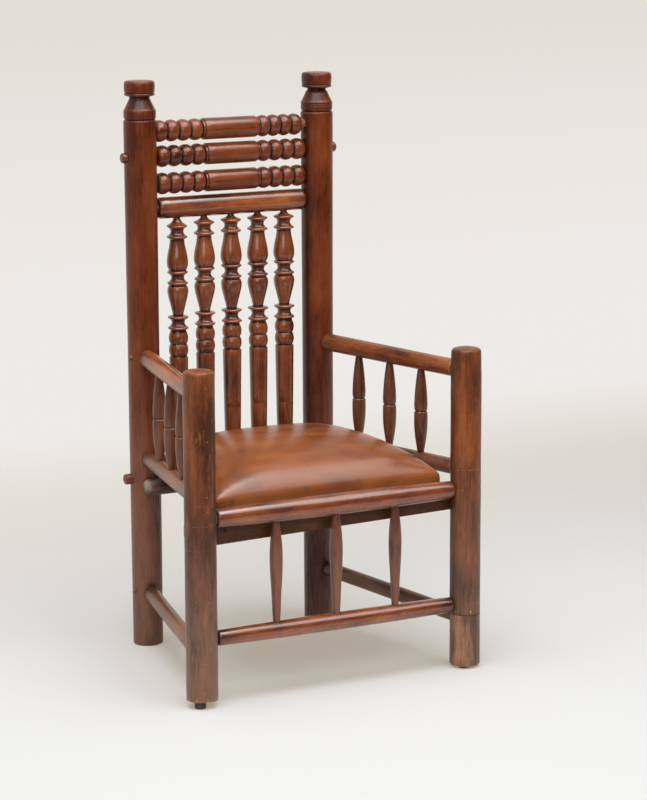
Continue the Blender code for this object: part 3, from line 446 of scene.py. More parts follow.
def wooden(name, deep, main, bright, streak=0.3, flecks=0.15, rubbing=0.4, dirt=0.9, coat=0.25, roughness=0.0,
           nicks=0.0, hole=None, shine=0.4, object_grain=None, relief=0.25, dust_and_sheen=0.0, dust_and_sheen_top=0.42):
    """A finish of the wood group; streak to nicks say how strong each kind of mark is."""
    material, tree, shader = new_finish(name)
    spot = tree.place()

    def kept(attribute, output="Fac"):
        return tree.add("ShaderNodeAttribute", attribute_name=attribute).outputs[output]

    if object_grain is None:
        place = kept("turned_place", "Vector")
        hollow, bare, tone_shift = kept("hollow"), kept("bare"), kept("tone_shift")
    else:
        place = tree.add("ShaderNodeMapping", {"Vector": spot, "Rotation": object_grain}).outputs[0]
        hollow = bare = tone_shift = 0.0
    if hole:
        centre, radius = hole
        away = tree.measured("DISTANCE", spot, centre)
        hollow = tree.plus(hollow, tree.stepped(away, radius * 0.7, radius * 1.2, HOLE_DIRT, 0.0))
    # Low down the wood is greyed more and more towards the floor: partly dust, partly a painted sheen.
    dust_and_sheen_share = tree.stepped(tree.parts(spot)["Z"], DUST_AND_SHEEN_LOW_Z, dust_and_sheen_top, dust_and_sheen, 0.0) if dust_and_sheen else 0.0
    made = tree.add("ShaderNodeGroup", node_tree=WOOD)
    tree.feed(made, {"Place": place, "Hollow": hollow, "Deep": deep, "Main": main, "Bright": bright,
                     "Streaks": streak, "Flecks": flecks, "Rubbing": rubbing, "Dirt": dirt, "Bare": bare,
                     "Nicks": nicks, "Tone shift": tone_shift, "Dust and sheen": dust_and_sheen_share})
    tree.feed(shader, {"Base Color": made.outputs["Colour"],
                       "Roughness": tree.plus(made.outputs["Roughness"], roughness),
                       "Normal": tree.bump(made.outputs["Height"], relief, GRAIN_DEPTH),
                       "Coat Weight": coat, "Coat Roughness": COAT_ROUGHNESS, "Specular IOR Level": shine})
    return material


POLISHED = wooden("polished_wood", (0.060, 0.011, 0.003), (0.150, 0.029, 0.0065), (0.230, 0.054, 0.012),
                  nicks=0.12, coat=0.12, shine=0.24, dust_and_sheen=0.46, dust_and_sheen_top=0.70)
BEADED = wooden("beaded_wood", (0.055, 0.010, 0.003), (0.170, 0.036, 0.009), (0.250, 0.061, 0.015),
                rubbing=0.25, dirt=1.3, coat=0.45, roughness=-0.03, shine=0.3, relief=0.08)
BALUSTER = wooden("baluster_wood", (0.060, 0.013, 0.004), (0.195, 0.045, 0.012), (0.315, 0.084, 0.022),
                  dirt=1.3, coat=0.75, roughness=-0.04, shine=0.36, relief=0.10)
ARM_WOOD = wooden("arm_wood", (0.060, 0.015, 0.005), (0.225, 0.062, 0.017), (0.380, 0.115, 0.030),
                  streak=0.5, flecks=0.4, nicks=0.2, coat=0.2, relief=0.15)
SPINDLE_WOOD = wooden("small_spindle_wood", (0.060, 0.018, 0.008), (0.150, 0.045, 0.018),
                      (0.220, 0.074, 0.031))
FRONT_SPINDLE_WOOD = wooden("front_spindle_wood", (0.080, 0.026, 0.012), (0.195, 0.066, 0.030),
                            (0.270, 0.100, 0.048))
NAIL_HOLE = front_post_point(LEFT, 0.041) + Vector((-0.0066, -0.0303, 0.0))
NAIL_HOLE_R = 0.0028
POST_COLOURS = (0.060, 0.018, 0.006), (0.145, 0.039, 0.012), (0.300, 0.080, 0.018)
POST_WOODS = {
    "left": wooden("left_post_wood", *POST_COLOURS, streak=0.55, flecks=0.8, rubbing=0.6, nicks=0.9,
                   coat=0.12, shine=0.24, hole=(NAIL_HOLE, NAIL_HOLE_R), dust_and_sheen=0.62),
    "right": wooden("right_post_wood", *POST_COLOURS, streak=0.65, flecks=0.5, rubbing=0.6, nicks=0.35,
                    coat=0.12, shine=0.24, dust_and_sheen=0.42, dust_and_sheen_top=0.50)}
FOOT_WOOD = wooden("spliced_foot_wood", (0.100, 0.045, 0.025), (0.300, 0.135, 0.070), (0.400, 0.200, 0.110),
                   streak=0.8, flecks=0.4, coat=0.05, roughness=0.14, nicks=0.3)
RAIL_WOOD = wooden("rail_wood", (0.050, 0.010, 0.003), (0.190, 0.040, 0.009), (0.360, 0.092, 0.019),
                   streak=0.35, flecks=0.2, coat=1.0, roughness=-0.04, relief=0.06)
DULL_WOOD = wooden("dull_wood", (0.060, 0.020, 0.009), (0.175, 0.064, 0.030), (0.265, 0.114, 0.058),
                   streak=0.4, flecks=0.2, coat=0.15, roughness=0.04, nicks=0.3)
DUSTY_WOOD = wooden("dusty_wood", (0.060, 0.022, 0.010), (0.130, 0.072, 0.046), (0.350, 0.285, 0.215),
                    streak=0.4, flecks=0.2, coat=0.0, roughness=0.2)
print("wooden finishes:", len([m for m in bpy.data.materials if m.name.endswith("wood")]))

# %% [markdown]
# ## Rear posts
# The two tall posts end in finials turned in one with them: a groove, a short barrel, a cone that narrows
# to a neck, a thin ring and a round-edged cap. The two were turned by eye, so one neck is thinner. Light
# and dark marks lie where the photograph shows them; down the posts' sides some are painted light and shade.

# %% Rear posts and their finials
PHOTO_SIDE = math.radians(-117.6)
REAR_LINES = (0.105, 0.128)
REAR_FOOT_ROUNDING = 0.005
REAR_MARKS_R = 0.032
# each finial: the height of its groove, its size, its neck's radius and the lines round its barrel
FINIALS = {"left": (1.0956, 1.0, 0.0207, ()),
           "right": (1.0953, 1.03, 0.0190, (0.0118, 0.0156))}
# each mark: its share across the post, its height, its reach across and up, and an amount
# Some marks are painted light and shade: on the left post the lighter left edge, the dark stripe left of the
# middle, the lighter right side and the darker right edge; on the right post the darker left side and the
# lighter middle.
REAR_MARKS_AND_LIGHT = {
    "left": ((-0.6, 0.95, 0.016, 0.30, -0.10), (0.6, 0.80, 0.020, 0.35, 0.08),
             (-0.2, 1.05, 0.020, 0.04, -0.15), (-0.2, 0.25, 0.03, 0.25, 0.20),
             (0.9, 0.45, 0.018, 0.30, -0.15), (0.8, 0.06, 0.02, 0.05, -0.25),
             (-0.95, 0.50, 0.010, 0.28, 0.30), (0.35, 0.128, 0.014, 0.014, -0.55),
             (0.2, 0.010, 0.012, 0.012, -0.45), (-0.1, 0.17, 0.004, 0.030, -0.30),
             (0.0, 1.135, 0.06, 0.03, -0.10)),
    "right": ((-0.8, 0.75, 0.020, 0.60, -0.30), (0.3, 0.85, 0.018, 0.30, 0.06),
              (0.0, 0.15, 0.05, 0.16, -0.40), (0.0, 1.135, 0.06, 0.03, -0.10))}


def finial(base, size, neck_r, lines):
    """Outline of a finial: groove, barrel, cone, neck, ring and cap."""
    top = REAR_POST_TOP_R
    outline = [(-0.0042, top), (-0.0022, top - 0.0003), (-0.0010, top - 0.0012), (0.0, top - 0.0032)]
    outline += curved([(0.0008, 0.0304), (0.0028, 0.0322), (0.0060, 0.0329), (0.0110, 0.0331)])
    outline += [point for height in lines for point in scored(height, 0.0330, 0.0006)]
    outline += [(0.0190, 0.0330), (0.0198, 0.0326), (0.0204, 0.0316), (0.0236, 0.0301), (0.0319, 0.0259)]
    outline += [(0.0395, 0.0225), (0.0432, neck_r), (0.0458, neck_r), (0.0466, neck_r + 0.0030)]
    outline += [(0.0484, 0.0296), (0.0496, 0.0312), (0.0510, 0.0317), (0.0526, 0.0312), (0.0534, 0.0298)]
    outline += curved([(0.0540, 0.0297), (0.0556, 0.0307), (0.0600, 0.0314), (0.0680, 0.0316),
                       (0.0735, 0.0312)])
    outline += curved([(0.0758, 0.0304), (0.0776, 0.0284), (0.0784, 0.0240), (0.0786, 0.0120)])
    return [(base + size * height, radius) for height, radius in outline]


def rear_post_outline(base, size, neck_r, barrel_lines):
    outline = rounded(0.0, REAR_POST_FOOT_R, REAR_FOOT_ROUNDING, 1)
    for height in REAR_LINES:
        outline += scored(height, rear_post_radius(height), 0.00015)
    outline = divided(outline + [(base - 0.006, REAR_POST_TOP_R)], 0.012)
    return outline + finial(base, size, neck_r, barrel_lines)


def post_patches(foot, radius, marks):
    """Wear and painted light and shade on a post; a share runs from -1 at its left edge in the photo to 1 at
    its right edge.
    """
    patches = []
    for share, height, wide, tall, amount in marks:
        angle = PHOTO_SIDE + math.asin(share)
        centre = foot + Vector((radius * math.cos(angle), radius * math.sin(angle), height))
        patches.append((centre, (wide, wide, tall), amount))
    return patches


for label, form in FINIALS.items():
    foot = rear_post_point(SIDES[label], 0.0)
    upright("rear_post_" + label, rear_post_outline(*form), foot, POLISHED, "dark_wood", steps=56,
            uneven=0.0003, patches=post_patches(foot, REAR_MARKS_R, REAR_MARKS_AND_LIGHT[label]))
print("rear post height:", round(max(v.co.z for v in pieces["rear_post_left_turned"].data.vertices), 4))

# %% [markdown]
# ## Front posts
# The front posts are plain, with rounded tops, and far more knocked about. The left one stands on a dark
# glide and its foot is worn towards the camera; the right one lost its foot, and a new one of paler wood
# was spliced on.

# %% Front posts
LINE_BARENESS = 0.70
TOP_RUN = 0.070
TOP_ROUNDING = 0.0085
LEFT_TOP_LIFT = 0.006
post_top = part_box("front_post_right")[1].z
left_foot_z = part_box("front_post_left")[0].z
splice_dirt = dirt_at((SPLICE_Z,), 0.0012, 1.6)
# each post: its foot, top and bevel, how high its foot is chipped, its scribed lines and its dirt
FRONT_POSTS = {
    "left": (left_foot_z, post_top + LEFT_TOP_LIFT, 0.002, 0.016,
             (0.093, 0.137, 0.315, 0.363, 0.403), clean),
    "right": (SPLICE_Z, post_top, 0.0006, 0.0001, (0.136, 0.372, 0.412, 0.606), splice_dirt)}
FRONT_MARKS = {
    "left": ((0.1, 0.535, 0.016, 0.035, -0.30), (0.75, 0.53, 0.014, 0.09, -0.22),
             (-0.75, 0.60, 0.012, 0.05, 0.14), (-0.3, 0.47, 0.008, 0.05, 0.14),
             (0.75, 0.30, 0.012, 0.12, -0.20), (-0.7, 0.22, 0.02, 0.08, -0.12),
             (0.3, 0.185, 0.006, 0.022, 0.32), (0.55, 0.395, 0.005, 0.016, 0.35),
             (-0.75, 0.365, 0.005, 0.012, 0.35), (0.68, 0.362, 0.004, 0.008, 0.40),
             (0.2, 0.075, 0.006, 0.012, 0.30)),
    "right": ((-0.4, 0.55, 0.010, 0.07, 0.14), (0.6, 0.58, 0.012, 0.05, -0.15),
              (-0.9, 0.35, 0.012, 0.30, -0.32), (0.2, 0.17, 0.03, 0.03, -0.22),
              (0.2, 0.27, 0.03, 0.08, -0.06))}


def front_post_outline(foot_z, top, bevel, lines):
    outline = [(foot_z, FRONT_POST_R - bevel), (foot_z + bevel, FRONT_POST_R)]
    for height in lines:
        outline += scored(height, FRONT_POST_R, 0.0001, 0.0008)
    outline += [(top - TOP_RUN, FRONT_POST_R)]
    outline += rounded(top - 0.0025, FRONT_POST_R - 0.0008, TOP_ROUNDING, -1, steps=7)
    return divided(outline, 0.006) + [(top - 0.0010, 0.0150), (top, 0.0060)]


def bare_places(lines, foot_z, chips):
    """Bare wood along the scribed lines and where the foot is chipped."""
    def bare(height):
        scratched = LINE_BARENESS if any(abs(height - line) < 0.0002 for line in lines) else 0.0
        return max(scratched, 1.0 - (height - foot_z) / chips)
    return bare


for label, (foot_z, top, bevel, chips, lines, dirt) in FRONT_POSTS.items():
    base = front_post_point(SIDES[label], 0.0)
    upright("front_post_" + label, front_post_outline(foot_z, top, bevel, lines), base, POST_WOODS[label],
            "worn_wood", steps=64, uneven=0.0004, bare=bare_places(lines, foot_z, chips), dirt=dirt,
            patches=post_patches(base, FRONT_POST_R, FRONT_MARKS[label]))
print("front posts from", round(left_foot_z, 4), "and", round(SPLICE_Z, 4), "to", round(post_top, 4))

# %% Worn left foot and spliced right foot
TOWARDS_CAMERA = Vector((-0.464, -0.886, 0.0))
WORN_FROM = 0.2
WORN_DEPTH = 0.0035
FOOT_BEVEL = 0.0028
FOOT_MARKS = ((-0.9, 0.06, 0.012, 0.08, -0.16), (0.75, 0.07, 0.010, 0.06, -0.10),
              (-0.45, 0.028, 0.010, 0.010, 0.22))
for point in pieces["front_post_left_turned"].data.vertices:
    towards = TOWARDS_CAMERA.dot(point.co - front_post_point(LEFT, 0.0)) / FRONT_POST_R
    if point.co.z < left_foot_z + 0.003 and towards > WORN_FROM:
        point.co.z += WORN_DEPTH * (towards - WORN_FROM) * (1.0 + 0.8 * noise.noise(point.co * 160))
foot_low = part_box("front_right_foot")[0].z
foot_outline = [(foot_low, FRONT_POST_R - FOOT_BEVEL), (foot_low + FOOT_BEVEL, FRONT_POST_R - 0.0003)]
foot_outline += [(SPLICE_Z - 0.0012, FRONT_POST_R - 0.0002), (SPLICE_Z - 0.0004, FRONT_POST_R - 0.001)]
base = front_post_point(RIGHT, 0.0)
upright("front_right_foot", divided(foot_outline, 0.008), base, FOOT_WOOD, "foot_wood", steps=64,
        uneven=0.0003, bare=bare_places((), foot_low, 0.005), dirt=splice_dirt,
        patches=post_patches(base, FRONT_POST_R, FOOT_MARKS))
print("spliced foot:", round(foot_low, 4), "to", round(SPLICE_Z, 4))

# %% [markdown]
# ## Rails
# A rail ends in a rounded shoulder against the post, with a thinner round tenon inside it. The gap that the
# rounded shoulder leaves is dark with dirt. The crest rails carry runs of beads; the spindle rail and the
# seat rails are plain.

# %% Rails between two posts
TENON_SHOWN = 0.006
SHOULDER_GAP = 0.0004
KNOB_ROUNDING = 0.45


def rail(name, start, end, post_radii, body_outline, tenon_r, finish, slot, knobs=None, uneven=0.00015,
         pulled=0.0, feet=(), patches=()):
    """A rail along a line with its shoulders at the posts; knobs says how far its ends stand out."""
    length = (end - start).length
    low = post_radii[0] + SHOULDER_GAP
    high = length - post_radii[1] - SHOULDER_GAP
    if knobs is None:
        head = [(low - 2 * TENON_SHOWN, tenon_r), (low - TENON_SHOWN, tenon_r)]
        tail = [(high, tenon_r), (high + TENON_SHOWN, tenon_r)]
    else:
        rounding = min(knobs, tenon_r) * KNOB_ROUNDING
        head = rounded(-post_radii[0] - knobs, tenon_r, rounding, 1) + [(low, tenon_r)]
        tail = [(high, tenon_r)] + rounded(length + post_radii[1] + knobs, tenon_r, rounding, -1)
    at_ends = dirt_at((low, high), 0.009, 1.2)
    at_feet = dirt_at(feet, 0.007, 0.7)

    def dirt(height):
        return 0.0 if pulled else at_ends(height) + at_feet(height)

    def bare(height):
        return 1.0 if pulled and height >= high - pulled - 0.0001 else 0.0

    outline = divided(head + body_outline(low, high) + tail, 0.02)
    return turned(name, outline, start, end, finish, slot, uneven=uneven, dirt=dirt, bare=bare,
                  patches=patches, grooves=0.010)


def plain(start_r, end_r, rounding=0.0045):
    def outline(low, high):
        return rounded(low, start_r, rounding, 1) + rounded(high, end_r, rounding, -1)
    return outline


def back_rail(name, height, outline, tenon_r, finish, **settings):
    radius = rear_post_radius(height)
    rail(name, rear_post_point(LEFT, height), rear_post_point(RIGHT, height), (radius, radius), outline,
         tenon_r, finish, "dark_wood", **settings)


# %% Crest rails
BEADS, BEAD_L, BEAD_R, BEAD_VALLEY_R = 4, 0.0265, 0.0224, 0.0158
BEAD_FULLNESS = 0.62
CREST_TENON_R = 0.0106
MIDDLE_KNOBS = 0.009
TOP_SLID, TOP_SHORT = 0.0055, 0.0085
OTHER_SHORT = 0.001
GNAWED_X, GNAWED_DEPTH = -0.112, 0.0009


def bead(low, length, valley, radius, steps=10):
    """One bead, from its valley to just before the next."""
    points = []
    for step in range(steps):
        share = math.sin(math.pi * step / steps) ** BEAD_FULLNESS
        points.append((low + length * step / steps, valley + (radius - valley) * share))
    return points


def bead_run(low, length):
    """Four beads and a fillet, up to the plain middle of a crest rail."""
    outline = []
    for index in range(BEADS):
        outline += bead(low + index * length, length, BEAD_VALLEY_R, BEAD_R)
    end = low + BEADS * length
    return outline + [(end, BEAD_VALLEY_R), (end + 0.0006, 0.0196), (end + 0.0036, 0.0200),
                      (end + 0.0044, 0.0188), (end + 0.0050, 0.0188), (end + 0.0054, BEAD_R - 0.0008),
                      (end + 0.0066, BEAD_R - 0.0002)]


def beaded(slid, short):
    """A crest rail's outline, slid out of the right post and short by so much."""
    def outline(low, high):
        left = bead_run(low - slid, BEAD_L)
        right = bead_run(0.0, BEAD_L - short / BEADS)
        return left + [(high - short - at, radius) for at, radius in reversed(right)]
    return outline


for name, height in CREST_Z.items():
    slid, short, pulled = (TOP_SLID, TOP_SHORT, TOP_SHORT) if name == "top" else (0.0, OTHER_SHORT, 0.0)
    back_rail("crest_rail_" + name, height, beaded(slid, short), CREST_TENON_R, BEADED,
              knobs=MIDDLE_KNOBS if name == "middle" else None, pulled=pulled)
for point in pieces["crest_rail_top_turned"].data.vertices:
    gnawed = GNAWED_DEPTH * min(1.0, max(0.0, (GNAWED_X - point.co.x) / 0.006))
    outward = Vector((0.0, point.co.y - REAR_Y, point.co.z - CREST_Z["top"])).normalized()
    point.co += outward * gnawed * noise.noise(point.co * 230)
print("crest rails:", [name for name in pieces if "crest" in name])

# %% Spindle rail, rear seat rail and front rails
SPINDLE_RAIL_R, REAR_RAIL_R = 0.0222, 0.019
# each front rail: its height, its radius at the ends and in the middle, its wear, and its spindles' places
spindle_feet = [middle_of(f"front_spindle_{index}").x + FRONT_X for index in (1, 2, 3)]
FRONT_RAILS = {"front_seat_rail": (FRONT_RAIL_Z, 0.0178, 0.0218, 0.0018, ()),
               "front_stretcher": (FRONT_STRETCHER_Z, 0.0156, 0.0178, 0.0016, spindle_feet)}
WEAR_TILT = math.radians(55)
WEAR_SHARE = 0.45


def swelling(end_r, middle_r, rounding=0.006):
    """A plain rail that is thicker in the middle."""
    def outline(low, high):
        body = [(low + (high - low) * share, end_r + (middle_r - end_r) * math.sin(math.pi * share) ** 0.8)
                for share in (0.12, 0.25, 0.4, 0.55, 0.7, 0.82, 0.91)]
        return rounded(low, end_r, rounding, 1) + curved(body) + rounded(high, end_r, rounding, -1)
    return outline


def wear_flat(piece, middle, radius, depth, behind):
    """Wears a long flat on the upper front of a rail that runs along X, and keeps its back side clear."""
    way = Vector((0.0, -math.cos(WEAR_TILT), math.sin(WEAR_TILT)))
    half = max(point.co.x for point in piece.data.vertices)
    for point in piece.data.vertices:
        share = min(1.0, max(0.0, 1.0 - abs(point.co.x - 0.02) / half) * 2.2)
        over = (point.co - middle).dot(way) - (radius - depth * share)
        if over > 0:
            point.co -= way * over * WEAR_SHARE
        point.co.y = min(point.co.y, behind)


def patches_round(middle, *places):
    """Patches of wear at offsets from a middle; each has an offset, a reach and an amount."""
    return [(middle + Vector(offset), reach, amount) for offset, reach, amount in places]


# The spindle rail is painted lighter along the middle of its front and darker in bands above and below:
# painted light and shade, as a lit round rail shows them. Its ends are darker at the joints.
wear_and_light = patches_round(Vector((0.0, REAR_Y - 0.021, SPINDLE_RAIL_Z)),
                     ((0.0, 0.0, -0.003), (0.14, 0.015, 0.011), 0.20),
                     ((0.0, 0.0, -0.022), (0.30, 0.030, 0.007), -0.25),
                     ((0.0, 0.0, 0.017), (0.30, 0.030, 0.009), -0.12),
                     ((-0.168, 0.0, 0.0), (0.028, 0.03, 0.03), -0.25),
                     ((0.168, 0.0, 0.0), (0.028, 0.03, 0.03), -0.25))
back_rail("spindle_rail", SPINDLE_RAIL_Z, plain(SPINDLE_RAIL_R, SPINDLE_RAIL_R, 0.009), 0.0095, RAIL_WOOD,
          patches=wear_and_light)
back_rail("rear_seat_rail", REAR_RAIL_Z, plain(REAR_RAIL_R, REAR_RAIL_R), 0.011, POLISHED, knobs=0.016)
for name, (height, end_r, middle_r, depth, feet) in FRONT_RAILS.items():
    middle = front_post_point(0, height)
    wear_and_light = patches_round(middle, ((-0.262, 0, 0), (0.03, 0.05, 0.05), -0.22),
                         ((0.262, 0, 0), (0.03, 0.05, 0.05), -0.22),
                         ((0.0, -0.019, -0.004), (0.2, 0.02, 0.007), 0.16))
    if name == "front_stretcher":
        wear_and_light += patches_round(middle, ((0.03, -0.006, 0.016), (0.18, 0.014, 0.010), 0.16))
    piece = rail(name, front_post_point(LEFT, height), front_post_point(RIGHT, height),
                 (FRONT_POST_R, FRONT_POST_R), swelling(end_r, middle_r), 0.009, RAIL_WOOD, "dark_wood",
                 feet=feet, patches=wear_and_light)
    wear_flat(piece, middle, middle_r, depth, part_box(name)[1].y)
print("rails:", [name for name in pieces if "rail" in name])

# %% Arms, side rails and side stretchers
ARM_REAR_R, ARM_FRONT_R = 0.01825, 0.0176
SIDE_RAIL_R, STRETCHER_R = 0.016, 0.0155
# each bar: its heights and radii at the rear and at the front, and its finish
SIDE_BARS = {"arm_": (ARM_Z, ARM_Z, ARM_REAR_R, ARM_FRONT_R, ARM_WOOD),
             "side_seat_rail_": (SIDE_RAIL_REAR_Z, SIDE_RAIL_FRONT_Z, SIDE_RAIL_R, SIDE_RAIL_R, DULL_WOOD),
             "side_stretcher_": (STRETCHER_REAR_Z, STRETCHER_FRONT_Z, STRETCHER_R, STRETCHER_R, DULL_WOOD)}
for label, side in SIDES.items():
    for name, (rear_z, front_z, rear_r, front_r, finish) in SIDE_BARS.items():
        rear, front = rear_post_point(side, rear_z), front_post_point(side, front_z)
        wear_and_light = [(rear.lerp(front, 0.08), (0.04, 0.05, 0.04), -0.22)]
        # On the left the bars are lighter along their outer top side: partly wear and dust, partly a painted
        # highlight.
        if side == LEFT:
            wear_and_light += patches_round(rear.lerp(front, 0.55), ((-0.016, 0, 0.004), (0.02, 0.3, 0.016), 0.22))
        else:
            wear_and_light += patches_round(rear.lerp(front, 0.5), ((0, 0, 0.012), (0.03, 0.14, 0.012), -0.18))
        rail(name + label, rear, front, (rear_post_radius(rear_z), FRONT_POST_R), plain(rear_r, front_r),
             0.009, finish, "worn_wood", uneven=0.0003, patches=wear_and_light)
print("side bars:", [name for name in pieces if name.startswith(("arm_", "side_"))])

# %% [markdown]
# ## Back spindles
# Five balusters hang in the spindle rail. From the top each has a pair of sharp collars with a cove
# between, a vase, another pair, a vase upside down, a third pair, two beads, a scribed line and a long
# tapering shaft. Each was turned by eye, so the pattern sits a little higher or lower from one to the next.

# %% Back spindles
COLLAR_R = 0.0215
COLLAR_PITCH = 0.0227
VASE_L = 0.0727
INVERTED_L = 0.0708
SPINDLE_BEAD_L = 0.0248
LIFTS = (-0.004, 0.0, 0.0015, 0.0015, 0.001)


def collars(drop):
    """Two sharp collars with a cove between them."""
    end = drop + COLLAR_PITCH
    cove = curved([(drop + 0.0020, COLLAR_R - 0.0010), (drop + 0.0050, 0.0165), (drop + 0.0090, 0.0138),
                   (drop + 0.0140, 0.0138), (drop + 0.0180, 0.0165), (end - 0.0020, COLLAR_R - 0.0010)])
    return ([(drop - 0.0018, COLLAR_R - 0.0012), (drop - 0.0006, COLLAR_R), (drop + 0.0008, COLLAR_R)] + cove
            + [(end - 0.0008, COLLAR_R), (end + 0.0006, COLLAR_R), (end + 0.0018, COLLAR_R - 0.0012)])


def dropped(start, *points):
    """Points of an outline, moved down to their start."""
    return [(start + drop, radius) for drop, radius in points]


def back_spindle_drops(lift):
    """The pattern as drops below the spindle rail and radii."""
    first = 0.0126 - lift
    vase = first + COLLAR_PITCH
    second = vase + VASE_L
    inverted = second + COLLAR_PITCH
    third = inverted + INVERTED_L
    beads = third + COLLAR_PITCH + 0.0086
    shaft = beads + 2 * SPINDLE_BEAD_L
    drops = curved([(0.0, 0.0066), (0.003, 0.0078), (0.007 - lift * 0.6, 0.0120), (first - 0.0022, 0.0196)])
    drops += collars(first) + dropped(vase, (0.0040, 0.0158))
    drops += curved(dropped(vase, (0.0060, 0.0150), (0.0180, 0.0165), (0.0320, 0.0195), (0.0430, 0.0214),
                            (0.0535, 0.0222), (0.0610, 0.0212), (0.0670, 0.0188)))
    drops += dropped(vase, (0.0690, 0.0178)) + collars(second)
    drops += dropped(inverted, (0.0040, 0.0180), (0.0058, 0.0180))
    drops += curved(dropped(inverted, (0.0064, 0.0192), (0.0085, 0.0206), (0.0160, 0.0218), (0.0280, 0.0202),
                            (0.0450, 0.0160), (0.0620, 0.0118), (0.0675, 0.0114)))
    drops += collars(third) + [(beads - 0.0040, 0.0165)]
    for index in range(2):
        drops += bead(beads + index * SPINDLE_BEAD_L, SPINDLE_BEAD_L, 0.0168, 0.0203)
    return drops + dropped(shaft, (0.0, 0.0168), (0.0016, 0.0172), (0.0022, 0.0192), (0.0034, 0.0196))


spindle_low = REAR_RAIL_Z + REAR_RAIL_R
spindle_high = SPINDLE_RAIL_Z - SPINDLE_RAIL_R
for index, lift in enumerate(LIFTS):
    name = f"back_spindle_{index + 1}"
    pattern = [(spindle_high - drop, radius) for drop, radius in reversed(back_spindle_drops(lift))]
    shaft = dropped(spindle_low, (-0.004, 0.0075), (0.0, 0.0115), (0.020, 0.0145), (0.045, 0.0168))
    shaft += scored(spindle_low + 0.112 + 0.003 * (index % 2), 0.0180, 0.0003)
    outline = divided(shaft + pattern + [(spindle_high + 0.004, 0.0055)], 0.015)
    upright(name, outline, Vector((middle_of(name).x, REAR_Y, 0.0)), BALUSTER, "dark_wood",
            dirt=dirt_at((spindle_low, spindle_high), 0.005), grooves=0.010)
print("back spindle:", len(pieces["back_spindle_1_turned"].data.polygons), "faces")

# %% [markdown]
# ## Small spindles
# The arm spindles swell to a groove at the middle and taper to both ends. The front spindles are thickest
# near the top and have a long taper below. Their tenons go into the rails above and below.

# %% Arm spindles and front spindles
SMALL_TENON_L, SMALL_TENON_R = 0.006, 0.0045
SUNK = 0.0008
FRONT_SPINDLE_LOW, FRONT_SPINDLE_HIGH = FRONT_STRETCHER_Z + 0.0144, FRONT_RAIL_Z - 0.0182
FRONT_SPINDLE = ((0.0, 0.0066), (0.02, 0.0071), (0.08, 0.0080), (0.14, 0.0087), (0.20, 0.0090),
                 (0.32, 0.0102), (0.44, 0.0118), (0.58, 0.0129), (0.66, 0.0130), (0.74, 0.0124),
                 (0.81, 0.0113), (0.88, 0.0098), (0.94, 0.0084), (1.0, 0.0070))


def small_spindle(name, foot, top, outline, finish):
    length = (top - foot).length
    points = [(-SMALL_TENON_L, SMALL_TENON_R)] + outline(length) + [(length + SMALL_TENON_L, SMALL_TENON_R)]
    turned(name, divided(points, 0.008), foot, top, finish, "worn_wood", steps=28,
           dirt=dirt_at((0.0, length), 0.006))


def arm_spindle(length):
    middle = length / 2
    shares = (0.0, 0.12, 0.25, 0.4, 0.55, 0.7, 0.85)
    groove = dropped(middle, (-0.0024, 0.0136), (-0.0008, 0.0116), (0.0008, 0.0114), (0.0022, 0.0132))
    lower, upper = [], []
    for share in shares:
        lower.append((middle * share, 0.0066 + 0.0074 * math.sin(math.pi / 2 * min(1.0, share / 0.74))))
        upper.append((length - middle * share, 0.0068 + 0.0072 * math.sin(math.pi / 2 * share ** 0.9)))
    return lower + groove + upper[::-1]


def front_spindle(length):
    return curved([(length * share, radius) for share, radius in FRONT_SPINDLE], 3)


for label, side in SIDES.items():
    for index in range(3):
        name = f"arm_spindle_{label}_{index + 1}"
        share = (REAR_Y - middle_of(name).y) / (REAR_Y - FRONT_Y)
        top = rear_post_point(side, ARM_Z).lerp(front_post_point(side, ARM_Z), share)
        rail_z = SIDE_RAIL_REAR_Z + (SIDE_RAIL_FRONT_Z - SIDE_RAIL_REAR_Z) * share
        arm_r = ARM_REAR_R + (ARM_FRONT_R - ARM_REAR_R) * share
        foot = Vector((top.x, top.y, rail_z + SIDE_RAIL_R - SUNK))
        small_spindle(name, foot, top - Vector((0, 0, arm_r - SUNK)), arm_spindle, SPINDLE_WOOD)
for index in range(3):
    name = f"front_spindle_{index + 1}"
    x = middle_of(name).x
    small_spindle(name, Vector((x, FRONT_Y, FRONT_SPINDLE_LOW)), Vector((x, FRONT_Y, FRONT_SPINDLE_HIGH)),
                  front_spindle, FRONT_SPINDLE_WOOD)
print("small spindles:", len([name for name in pieces if name.startswith(("arm_spindle", "front_spindle"))]))

# %% [markdown]
# ## Bearers, pegs and small metal
# A round bar and a board carry the loose seat. Short pegs lock the arms and the low stretchers in the rear
# posts, and a plug fills an old mortise in the left front post. A nail holds the spliced foot, and dark
# glides lift the front posts.

# %% Bar, pegs and plug
BAR_R, BAR_ROUNDING, BAR_FORWARD = 0.0172, 0.010, 0.0005
PIN_R, PIN_DOME = 0.0046, 0.002
PLUG_R, PLUG_DOME = 0.0143, 0.0012
PLUG_REACH = FRONT_POST_R + 0.0009
bar_low, bar_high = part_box("rear_bearer")
bar_middle = (bar_low + bar_high) / 2
bar_outline = rounded(0.0, BAR_R, BAR_ROUNDING, 1)
bar_outline += rounded(bar_high.x - bar_low.x, BAR_R, BAR_ROUNDING, -1)
bar_wear = [(bar_middle, (0.6, 0.05, 0.05), -0.40)]
bar_wear += patches_round(Vector((bar_low.x, bar_middle.y, bar_middle.z)),
                          ((0.0, -0.010, 0.010), (0.016, 0.03, 0.018), 0.70))
bar_start = Vector((bar_low.x, bar_middle.y - BAR_FORWARD, bar_middle.z))
bar_end = Vector((bar_high.x, bar_start.y, bar_start.z))
turned("rear_bearer", divided(bar_outline, 0.02), bar_start, bar_end, DUSTY_WOOD, "worn_wood",
       uneven=0.0004, patches=bar_wear)


